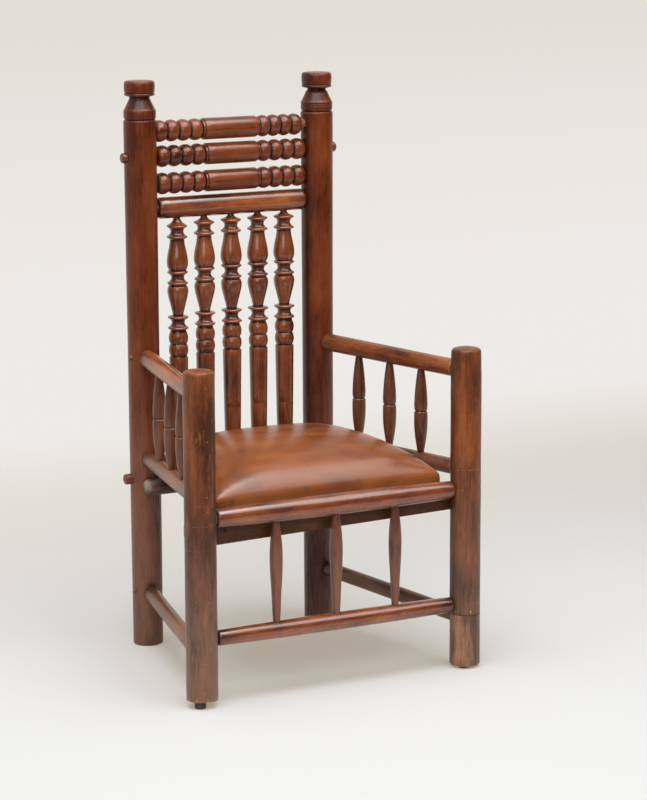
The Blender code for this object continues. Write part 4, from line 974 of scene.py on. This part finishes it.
def peg(name, radius, dome, finish, slot, side):
    """A peg that fills its node's box along X, with its rounded head outwards."""
    low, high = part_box(name)
    head, tail = (low + high) / 2, (low + high) / 2
    head.x, tail.x = (high.x, low.x) if side == RIGHT else (low.x, high.x)
    outline = divided([(0.0, radius)] + rounded((head - tail).length, radius, dome, -1), 0.02)
    turned(name, outline, tail, head, finish, slot, steps=24, uneven=0.00005)


for label, side in SIDES.items():
    for name in ("arm_pin_", "stretcher_pin_"):
        peg(name + label, PIN_R, PIN_DOME, DULL_WOOD, "worn_wood", side)
peg("mortise_plug", PLUG_R, PLUG_DOME, POST_WOODS["left"], "dark_wood", LEFT)
for point in pieces["mortise_plug_turned"].data.vertices:
    axis = front_post_point(LEFT, point.co.z)
    if (point.co - axis).length > PLUG_REACH:
        point.co = axis + (point.co - axis).normalized() * PLUG_REACH
print("pegs:", [name for name in pieces if "pin_" in name or "plug" in name])

# %% Glides, nail and screws
NAIL_R, NAIL_HEAD_R, NAIL_DOME, NAIL_HEAD_L = 0.0012, 0.0022, 0.0012, 0.0016
NAIL_ASIDE, NAIL_PROUD, NAIL_STRETCH = -0.0042, 0.0007, 1.5
GLIDE_R, GLIDE_ROUNDING, GLIDE_UPPER_R = 0.0112, 0.0015, 0.0098
# each glide: the piece above it, and how far it stands from that piece's line
GLIDES = {"left": ("front_post_left", (-0.0085, -0.0085, 0.0)),
          "right": ("front_right_foot", (-0.008, -0.009, 0.0))}


def plain_finish(name, colour, roughness, metallic, mottle):
    """Rubber or metal with a mottled colour and roughness."""
    material, tree, shader = new_finish(name)
    blots = tree.cloud(tree.place(), 350.0, 1.0, 4.0, 0.6)
    tone_shift = [min(1.0, part * (1 + mottle)) for part in colour]
    shade = tree.mixed(tree.stepped(blots, 0.35, 0.7), colour, tone_shift)
    tree.feed(shader, {"Base Color": shade, "Metallic": metallic,
                       "Roughness": tree.stepped(blots, 0.3, 0.7, roughness - 0.1, roughness + 0.1)})
    return material


RUBBER = plain_finish("dark_rubber", (0.042, 0.033, 0.027), 0.62, 0.0, 1.2)
BRASS = plain_finish("dull_brass", (0.50, 0.27, 0.11), 0.48, 1.0, 0.4)
STEEL = plain_finish("dark_steel", (0.16, 0.15, 0.14), 0.5, 1.0, 0.6)
nail_low, nail_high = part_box("foot_nail")
nail_z = (nail_low.z + nail_high.z) / 2
nail_x = FRONT_X + NAIL_ASIDE
nail_tip = FRONT_Y - math.sqrt(FRONT_POST_R ** 2 - NAIL_ASIDE ** 2) - NAIL_PROUD
nail_l = nail_high.y - nail_tip
nail_outline = [(0.0, NAIL_R), (nail_l - NAIL_HEAD_L, NAIL_R)]
nail_outline += rounded(nail_l, NAIL_HEAD_R, NAIL_DOME, -1)
nail = turned("foot_nail", nail_outline, Vector((nail_x, nail_high.y, nail_z)),
              Vector((nail_x, nail_tip, nail_z)), BRASS, "nail", steps=20, uneven=0.0)
for point in nail.data.vertices:
    point.co.z = nail_z + (point.co.z - nail_z) * NAIL_STRETCH
for label, (above, aside) in GLIDES.items():
    centre = middle_of("glide_" + label) + Vector(aside)
    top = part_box(above)[0].z
    outline = rounded(0.0, GLIDE_R, GLIDE_ROUNDING, 1) + [(top * 0.7, 0.0110), (top * 0.72, GLIDE_UPPER_R)]
    outline += [(top - 0.0004, GLIDE_UPPER_R), (top + 0.004, 0.006)]
    upright("glide_" + label, outline, Vector((centre.x, centre.y, 0.0)), RUBBER, "glide", steps=28,
            uneven=0.0001)


def dress(node, finish):
    """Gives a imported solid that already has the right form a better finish."""
    nodes[node].material_slots[0].material = finish


for label in SIDES:
    for name in ("rear_bearer_screw_", "front_bearer_screw_"):
        dress(name + label, STEEL)
print("small metal dressed")

# %% [markdown]
# ## The seat's frame
# Under the leather lies a half-lapped frame of plain sawn wood with jute webbing across it. Its packed
# solids have the right form already, so they only get finishes. The webbing's weave is two sets of waves:
# warp threads along the strip and weft threads across it.

# %% Frame and webbing
QUARTER = math.radians(90)
ALONG_X, ALONG_Y = (0, QUARTER, 0), (QUARTER, 0, 0)
BOARD_HOLE = Vector((-0.2329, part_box("front_bearer")[0].y, 0.3388))
BOARD_HOLE_R = 0.0036
SAWN = (0.17, 0.10, 0.05), (0.30, 0.19, 0.10), (0.40, 0.27, 0.15)
THREADS = 95.0
BOARD = wooden("bearer_board_wood", (0.050, 0.016, 0.006), (0.095, 0.031, 0.011), (0.150, 0.052, 0.019),
               streak=0.35, flecks=0.1, coat=0.03, roughness=0.1, shine=0.2, hole=(BOARD_HOLE, BOARD_HOLE_R),
               object_grain=ALONG_X)
dress("front_bearer", BOARD)
for name, grain, rails in (("across", ALONG_X, ("front", "rear")), ("deep", ALONG_Y, ("left", "right"))):
    finish = wooden("sawn_wood_" + name, *SAWN, streak=0.6, flecks=0.0, coat=0.0, roughness=0.3,
                    object_grain=grain)
    for label in rails:
        dress("seat_frame_" + label, finish)
JUTE, tree, shader = new_finish("jute_webbing")
place = tree.place()
warp, weft = [tree.add("ShaderNodeTexWave", {"Vector": place, "Scale": THREADS, "Distortion": 0.6},
                       bands_direction=way).outputs["Fac"] for way in ("X", "Y")]
weave = tree.times(warp, weft)
shade = tree.mixed(tree.stepped(tree.cloud(place, 60.0), 0.3, 0.7), (0.30, 0.21, 0.12), (0.46, 0.34, 0.21))
shade = tree.mixed(tree.stepped(weave, 0.0, 0.4), (0.12, 0.08, 0.045), shade)
tree.feed(shader, {"Base Color": shade, "Roughness": 0.85, "Normal": tree.bump(weave, 0.6, 0.0006)})
for index in range(1, 4):
    for name in ("webbing_deep_", "webbing_across_"):
        dress(name + str(index), JUTE)
print("frame and webbing dressed")

# %% [markdown]
# ## The leather seat
# The seat is a loose frame with webbing and stuffing under brown leather, crowned high and drawn down on
# all sides. A pad of that form is made a little small, remeshed into an even skin and blown up by a short
# cloth simulation, which rounds it as stuffing does.

# %% The pad's form
seat_low, seat_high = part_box("leather_seat")
SEAT_MIDDLE_Y = (seat_low.y + seat_high.y) / 2
SEAT_HALF_DEPTH = (seat_high.y - seat_low.y) / 2
SEAT_FRONT_HALF = seat_high.x
SEAT_REAR_HALF = 0.1842
EDGE_Z = seat_low.z + 0.0347
CROWN = seat_high.z - EDGE_Z
CROWN_LIFT = 0.0025
PAD_INSET = 0.0008
PAD_LOWERED = 0.003
SKIN_CELL = 0.006
# how late and how fully the crown falls to each edge
LEFT_FALL, RIGHT_FALL = (3.8, 0.5), (5.0, 0.5)
FRONT_FALL, REAR_FALL = (2.0, 0.55), (2.8, 0.46)
LEAST_HEIGHT = 0.000001


def seat_half_width(y, inset=0.0):
    share = (y - seat_low.y) / (seat_high.y - seat_low.y)
    return SEAT_FRONT_HALF + (SEAT_REAR_HALF - SEAT_FRONT_HALF) * share - inset


def falling(share, fall):
    """The height that is left at a share of the way from the middle to an edge."""
    late, full = fall
    return max(1 - abs(share) ** late, LEAST_HEIGHT) ** full


def crown_height(across, deep):
    """The crown falls steeply to the sides and the rear, and in a long round roll to the front."""
    side = falling(across, RIGHT_FALL if across > 0 else LEFT_FALL)
    end = falling(deep, FRONT_FALL if deep < 0 else REAR_FALL)
    return EDGE_Z + (CROWN + CROWN_LIFT) / (1 / side + 1 / end - 1)


def extruded(bm, edges):
    """Extrudes edges, and gives the new points and the new edges."""
    made = bmesh.ops.extrude_edge_only(bm, edges=edges)["geom"]
    points = [item for item in made if isinstance(item, bmesh.types.BMVert)]
    return points, [item for item in made if isinstance(item, bmesh.types.BMEdge)]


def boundary(bm):
    return [edge for edge in bm.edges if edge.is_boundary]


def pad_mesh():
    bm = bmesh.new()
    bmesh.ops.create_grid(bm, x_segments=56, y_segments=48, size=1.0)
    for point in bm.verts:
        across = math.sin(math.pi / 2 * point.co.x)
        deep = math.sin(math.pi / 2 * point.co.y)
        y = SEAT_MIDDLE_Y + deep * (SEAT_HALF_DEPTH - PAD_INSET)
        point.co = (across * seat_half_width(y, PAD_INSET), y, crown_height(across, deep) - PAD_LOWERED)
    points, rim = extruded(bm, boundary(bm))
    for point in points:
        point.co.z = seat_low.z
    bmesh.ops.contextual_create(bm, geom=rim)
    bmesh.ops.recalc_face_normals(bm, faces=bm.faces)
    return meshed(bm, "seat_pad")


def evaluated_copy(holder):
    graph = bpy.context.evaluated_depsgraph_get()
    return bpy.data.meshes.new_from_object(holder.evaluated_get(graph))


holder = bpy.data.objects.new("seat_pad", pad_mesh())
bpy.context.scene.collection.objects.link(holder)
remesh = holder.modifiers.new("even_skin", "REMESH")
remesh.mode = "VOXEL"
remesh.voxel_size = SKIN_CELL
skin = evaluated_copy(holder)
holder.modifiers.clear()
holder.data = skin
print("even skin:", len(skin.vertices), "points")

# %% [markdown]
# The simulation pushes the skin outwards from inside. The low edge is pinned, as it is tacked to the frame,
# and no point may move further than a few millimetres, so that the seat stays in the space its solid holds.

# %% Blow the pad up
MOST_MOVE = 0.0055
BLOWN_FRAMES = 16
PINNED_Z = seat_low.z + 0.016


def points_of(mesh):
    """The points of a mesh as rows of X, Y and Z."""
    flat = np.empty(len(mesh.vertices) * 3)
    mesh.vertices.foreach_get("co", flat)
    return flat.reshape(-1, 3)


start = points_of(skin)
pins = holder.vertex_groups.new(name="tacked")
pins.add([int(i) for i in np.flatnonzero(start[:, 2] < PINNED_Z)], 1.0, "REPLACE")
cloth = holder.modifiers.new("stuffing", "CLOTH").settings
cloth.quality = 4
cloth.mass = 0.4
cloth.tension_stiffness = cloth.compression_stiffness = 20
cloth.bending_stiffness = 4
cloth.use_pressure = True
cloth.uniform_pressure_force = 4
cloth.effector_weights.gravity = 0
cloth.vertex_group_mass = "tacked"
for step in range(1, BLOWN_FRAMES + 1):
    bpy.context.scene.frame_set(step)
moved = points_of(evaluated_copy(holder))
holder.modifiers.clear()
bpy.context.scene.frame_set(1)
print("blown up:", len(moved), "points")

# %% [markdown]
# The moves are smoothed over neighbouring points and capped. The front corners are then drawn out a little,
# as folded leather is.

# %% Smooth and cap the moves
SMOOTHINGS = 40
SIDEWAYS = 0.35
NO_MOVE = 1e-9
CORNER_PULL = 0.004
CORNER_FORWARD = 0.6
CORNER_SHARPNESS = 9
change = moved - start
ends = np.array([tuple(edge.vertices) for edge in skin.edges])
for _ in range(SMOOTHINGS):
    total, count = np.zeros_like(change), np.zeros((len(change), 1))
    for near, far in ((0, 1), (1, 0)):
        np.add.at(total, ends[:, near], change[ends[:, far]])
        np.add.at(count, ends[:, near], 1.0)
    change = 0.5 * change + 0.5 * total / count
lengths = np.linalg.norm(change, axis=1, keepdims=True)
print("largest move before the cap:", round(float(lengths.max()), 4))
moved = start + change * np.minimum(1.0, MOST_MOVE / np.maximum(lengths, NO_MOVE))
moved[:, :2] = start[:, :2] + (moved - start)[:, :2] * SIDEWAYS
print("crown after the cap:", round(float(moved[:, 2].max()), 4), "packed:", round(seat_high.z, 4))
deep = np.clip((SEAT_MIDDLE_Y - moved[:, 1]) / SEAT_HALF_DEPTH, 0.0, 1.0)
across = np.abs(moved[:, 0]) / seat_half_width(moved[:, 1])
corner = np.clip(across, 0.0, 1.0) ** CORNER_SHARPNESS * deep ** CORNER_SHARPNESS
moved[:, 0] += np.sign(moved[:, 0]) * CORNER_PULL * corner
moved[:, 1] -= CORNER_PULL * CORNER_FORWARD * corner
skin.vertices.foreach_set("co", moved.ravel())
skin.update()
holder.modifiers.new("smooth_skin", "SUBSURF").levels = 1
skin = evaluated_copy(holder)
bpy.data.objects.remove(holder)

# %% [markdown]
# The lower edge is cut off straight and made again as leather is fitted: down past the frame, turned under
# it, and hollow inside where the frame and the webbing lie.

# %% Turn the leather under
LEATHER_T = 0.002
TURN_UNDER = 0.014
RIM_ROUNDING, RIM_Z = 0.002, seat_low.z + 0.003
CUT_Z = seat_low.z + 0.014
CUT_DOUBLES = 0.0004
UNDER_Z = seat_low.z + 0.0002
HOLLOW_SLOPE = 0.003
HOLLOW_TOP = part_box("webbing_across_1")[1].z + 0.0006


def extend_rim(bm, rim, old_inset, inset, height):
    """Extrudes an edge loop to another inset from the seat's outline, and another height."""
    points, edges = extruded(bm, rim)
    for point in points:
        deep = (point.co.y - SEAT_MIDDLE_Y) / (SEAT_HALF_DEPTH - old_inset)
        across = point.co.x / seat_half_width(point.co.y, old_inset)
        y = SEAT_MIDDLE_Y + deep * (SEAT_HALF_DEPTH - inset)
        point.co = (across * seat_half_width(y, inset), y, height)
    return edges


def leather_mesh():
    bm = bmesh.new()
    bm.from_mesh(skin)
    everything = bm.verts[:] + bm.edges[:] + bm.faces[:]
    bmesh.ops.bisect_plane(bm, geom=everything, plane_co=(0, 0, CUT_Z), plane_no=(0, 0, -1), clear_outer=True)
    bmesh.ops.remove_doubles(bm, verts=bm.verts, dist=CUT_DOUBLES)
    rim = boundary(bm)
    under = LEATHER_T + TURN_UNDER
    inside_z = UNDER_Z + LEATHER_T
    insets = (0.0, 0.0, RIM_ROUNDING, under, under, LEATHER_T, LEATHER_T + HOLLOW_SLOPE)
    heights = (RIM_Z, UNDER_Z, UNDER_Z, inside_z, inside_z, HOLLOW_TOP)
    for old_inset, inset, height in zip(insets, insets[1:], heights):
        rim = extend_rim(bm, rim, old_inset, inset, height)
    before = set(bm.faces)
    bmesh.ops.contextual_create(bm, geom=rim)
    for face in set(bm.faces) - before:
        face.material_index = 1
    bmesh.ops.recalc_face_normals(bm, faces=bm.faces)
    return meshed(bm, "leather_cushion")


# %% [markdown]
# The leather is brown with an uneven dye in soft clouds drawn out sideways. Its low sides are painted a
# little lighter than the crown, a painted light against the shade they stand in, and a painted shade darkens
# them again at the very edge. A few dark spots lie along the front, and a fine pebbled grain breaks up the
# sheen.

# %% Leather
DARK_DYE, MAIN_DYE, LIGHT_DYE = (0.145, 0.037, 0.009), (0.216, 0.058, 0.012), (0.295, 0.086, 0.018)
EDGE_SHADE, SPOT_DYE = (0.085, 0.022, 0.007), (0.075, 0.040, 0.030)
SPOTS = (-0.215, 0.392), (-0.052, 0.402), (0.065, 0.408), (0.168, 0.415)
LEATHER, tree, shader = new_finish("brown_leather")
place = tree.place()
drawn = tree.add("ShaderNodeMapping", {"Vector": place, "Scale": (0.55, 1.0, 1.0)}).outputs[0]
clouds = tree.cloud(drawn, 13.0, 1.0, 1.0, 0.5, 0.6)
blots = tree.cloud(drawn, 34.0, 1.0, 0.0)
height = tree.parts(place)["Z"]
dye_and_painted_light = tree.plus(tree.times(clouds, 0.8), tree.times(blots, 0.2))
# The low sides are painted lighter: painted light that makes up for the shade they stand in.
dye_and_painted_light = tree.plus(dye_and_painted_light, tree.stepped(height, EDGE_Z, EDGE_Z + 0.040, 0.14, 0.0))
shade = tree.mixed(tree.stepped(dye_and_painted_light, 0.32, 0.52), DARK_DYE, MAIN_DYE)
shade = tree.mixed(tree.stepped(dye_and_painted_light, 0.50, 0.70), shade, LIGHT_DYE)
# A painted shade darkens the very edge, where the leather meets the frame's rails.
shade = tree.mixed(tree.stepped(height, EDGE_Z - 0.014, EDGE_Z + 0.006, 0.08, 0.0), shade, EDGE_SHADE)
for x, z in SPOTS:
    away = tree.measured("DISTANCE", place, (x, seat_low.y, z))
    shade = tree.mixed(tree.stepped(away, 0.003, 0.011, 0.55, 0.0), shade, SPOT_DYE)
cells = tree.add("ShaderNodeTexVoronoi", {"Vector": place, "Scale": 620.0}).outputs["Distance"]
pebbles = tree.plus(tree.times(cells, 0.6), tree.times(blots, 0.5))
tree.feed(shader, {"Base Color": shade, "Roughness": tree.stepped(blots, 0.3, 0.7, 0.27, 0.33),
                   "Normal": tree.bump(pebbles, 0.05, 0.0005), "Specular IOR Level": 0.46,
                   "Coat Weight": 0.15, "Coat Roughness": 0.22})
cushion = finished("leather_cushion", leather_mesh(), "seat", "leather_seat", LEATHER)
cushion.data.materials.append(JUTE)
print("cushion:", len(cushion.data.polygons), "faces")

# %% [markdown]
# ## Stage, light and camera
# A pale sweep of paper runs from the floor up behind the chair. From below it can be seen through, and far
# off it fades into the colour of the room.

# %% Floor and backdrop
SWEEP_REACH, SWEEP_FRONT, SWEEP_REAR, SWEEP_BEND, SWEEP_TOP = 14.0, -1.9, 3.2, 1.6, 7.0
BEND_STEPS = 12
PAPER = (0.71, 0.77, 0.845)
# Near the chair the floor glows a little by itself in a warm colour, for the camera and in reflections:
# painted light that makes the chair's shadow lighter and warm, as light bounced from the wood would. The
# paper itself is bluish, so that the lit floor stays pale grey.
NEAR_BOUNCE_GLOW, WALL, FAR_ROOM = (0.76, 0.62, 0.43), (0.775, 0.722, 0.668), (0.850, 0.828, 0.790)
NEAR_GLOW = 0.38


def sweep_mesh():
    bm = bmesh.new()
    path = [(SWEEP_FRONT, 0.0), (SWEEP_REAR, 0.0)]
    for step in range(1, BEND_STEPS + 1):
        angle = math.pi / 2 * step / BEND_STEPS
        path.append((SWEEP_REAR + SWEEP_BEND * math.sin(angle), SWEEP_BEND * (1 - math.cos(angle))))
    path.append((SWEEP_REAR + SWEEP_BEND, SWEEP_TOP))
    line = [bm.verts.new((-SWEEP_REACH, y, z)) for y, z in path]
    points, _ = extruded(bm, [bm.edges.new(pair) for pair in zip(line, line[1:])])
    bmesh.ops.translate(bm, verts=points, vec=(2 * SWEEP_REACH, 0, 0))
    bmesh.ops.recalc_face_normals(bm, faces=bm.faces)
    if any(face.normal.z < -0.5 for face in bm.faces):
        bmesh.ops.reverse_faces(bm, faces=bm.faces)
    mesh = meshed(bm, "studio_sweep")
    mesh.shade_smooth()
    return mesh


sweep = bpy.data.objects.new("studio_sweep", sweep_mesh())
bpy.context.scene.collection.objects.link(sweep)
paper, tree, shader = new_finish("studio_paper")
tree.feed(shader, {"Base Color": PAPER, "Roughness": 0.9, "Specular IOR Level": 0.1})
spot = tree.parts(tree.place())
rays = tree.add("ShaderNodeLightPath").outputs
aside = tree.stepped(tree.maths("ABSOLUTE", spot["X"]), 2.5, 6.0)
far_off = tree.larger(tree.stepped(spot["Y"], 0.5, 2.4), tree.times(aside, rays["Is Camera Ray"]))
# the warm glow near the chair is painted light in its shadow
backdrop = tree.mixed(far_off, NEAR_BOUNCE_GLOW, FAR_ROOM)
backdrop = tree.mixed(tree.stepped(spot["Z"], 0.0, 1.2), backdrop, WALL)
glow = tree.add("ShaderNodeEmission", {"Color": backdrop})
direct = tree.larger(rays["Is Camera Ray"], tree.larger(rays["Is Glossy Ray"], rays["Is Transmission Ray"]))
seen = tree.times(direct, tree.plus(tree.times(far_off, 1 - NEAR_GLOW), NEAR_GLOW))
blend = tree.add("ShaderNodeMixShader", {0: seen, 1: shader.outputs[0], 2: glow.outputs[0]})
below = tree.add("ShaderNodeNewGeometry").outputs["Backfacing"]
clear = tree.add("ShaderNodeBsdfTransparent").outputs[0]
blend = tree.add("ShaderNodeMixShader", {0: below, 1: blend.outputs[0], 2: clear})
tree.feed(paper.node_tree.nodes["Material Output"], {"Surface": blend.outputs[0]})
sweep.data.materials.append(paper)
print("sweep:", len(sweep.data.polygons), "faces")

# %% [markdown]
# Three soft lamps light the chair: one above, one in front that isn't mirrored in the polish, and one from
# the left. The room is pale and lighter above and behind. One bright part of it shows only in reflections,
# and the camera itself sees a plain pale colour behind everything.

# %% Lamps and room
AIM = Vector((0, 0, 0.5))
BRIGHT_WAY = Vector((0.450, -0.260, 0.854)).normalized()
BRIGHT_PART = 3.3


def soft_lamp(name, place, size, power, mirrored=True):
    lamp = bpy.data.lights.new(name, "AREA")
    lamp.shape = "RECTANGLE"
    lamp.size, lamp.size_y = size
    lamp.energy = power
    holder = bpy.data.objects.new(name, lamp)
    turn = (AIM - Vector(place)).to_track_quat("-Z", "Y").to_matrix().to_4x4()
    holder.matrix_world = Matrix.Translation(place) @ turn
    holder.visible_glossy = mirrored
    bpy.context.scene.collection.objects.link(holder)


soft_lamp("top_lamp", (-0.40, -0.75, 3.3), (3.0, 2.4), 108)
soft_lamp("front_lamp", (1.6, -3.0, 2.7), (3.2, 2.2), 30, mirrored=False)
soft_lamp("left_lamp", (-2.4, -3.6, 2.5), (2.4, 2.0), 42)
world = bpy.data.worlds.new("pale_room")
bpy.context.scene.world = world
world.use_nodes = True
tree = Tree(world.node_tree)
way = tree.add("ShaderNodeTexCoord").outputs["Generated"]
parts = tree.parts(way)
room = tree.stepped(parts["Z"], 0.35, 0.95, 0.07, 0.55)
room = tree.plus(room, tree.stepped(parts["Y"], 0.0, 0.8, 0.0, 0.45))
room = tree.plus(room, tree.stepped(parts["X"], -0.95, -0.3, 0.25, 0.0))
bright = tree.stepped(tree.measured("DOT_PRODUCT", way, BRIGHT_WAY), 0.88, 0.985, 0.0, BRIGHT_PART)
rays = tree.add("ShaderNodeLightPath").outputs
room = tree.plus(room, tree.times(rays["Is Glossy Ray"], bright))
light = tree.feed(world.node_tree.nodes["Background"], {"Color": (1.0, 0.98, 0.95), "Strength": room})
behind = tree.add("ShaderNodeBackground", {"Color": FAR_ROOM})
blend = tree.add("ShaderNodeMixShader", {0: rays["Is Camera Ray"], 1: light.outputs[0], 2: behind.outputs[0]})
tree.feed(world.node_tree.nodes["World Output"], {"Surface": blend.outputs[0]})
bpy.context.scene.view_settings.view_transform = "Standard"
print("lamps:", len(bpy.data.lights))

# %% [markdown]
# The camera stands where the photograph's did: a long lens, left of the front, looking slightly down.

# %% Camera
YAW, PITCH, ROLL = math.radians(27.647), math.radians(10.914), math.radians(-0.234)
CAMERA_PLACE = (-2.49386, FRONT_Y - 4.70940, 1.60457)
forward = Vector((math.sin(YAW) * math.cos(PITCH), math.cos(YAW) * math.cos(PITCH), -math.sin(PITCH)))
level = Vector((math.cos(YAW), -math.sin(YAW), 0.0))
plumb = level.cross(forward)
right = math.cos(ROLL) * level + math.sin(ROLL) * plumb
upward = -math.sin(ROLL) * level + math.cos(ROLL) * plumb
lens = bpy.data.cameras.new("photo_camera")
lens.sensor_width = 36.0
lens.lens = 125.46
camera = bpy.data.objects.new("photo_camera", lens)
turn = Matrix((right, upward, -forward)).transposed().to_4x4()
camera.matrix_world = Matrix.Translation(CAMERA_PLACE) @ turn
bpy.context.scene.collection.objects.link(camera)
bpy.context.scene.camera = camera

# %% End: count the pieces
bpy.context.view_layer.update()
print("pieces:", len(pieces))
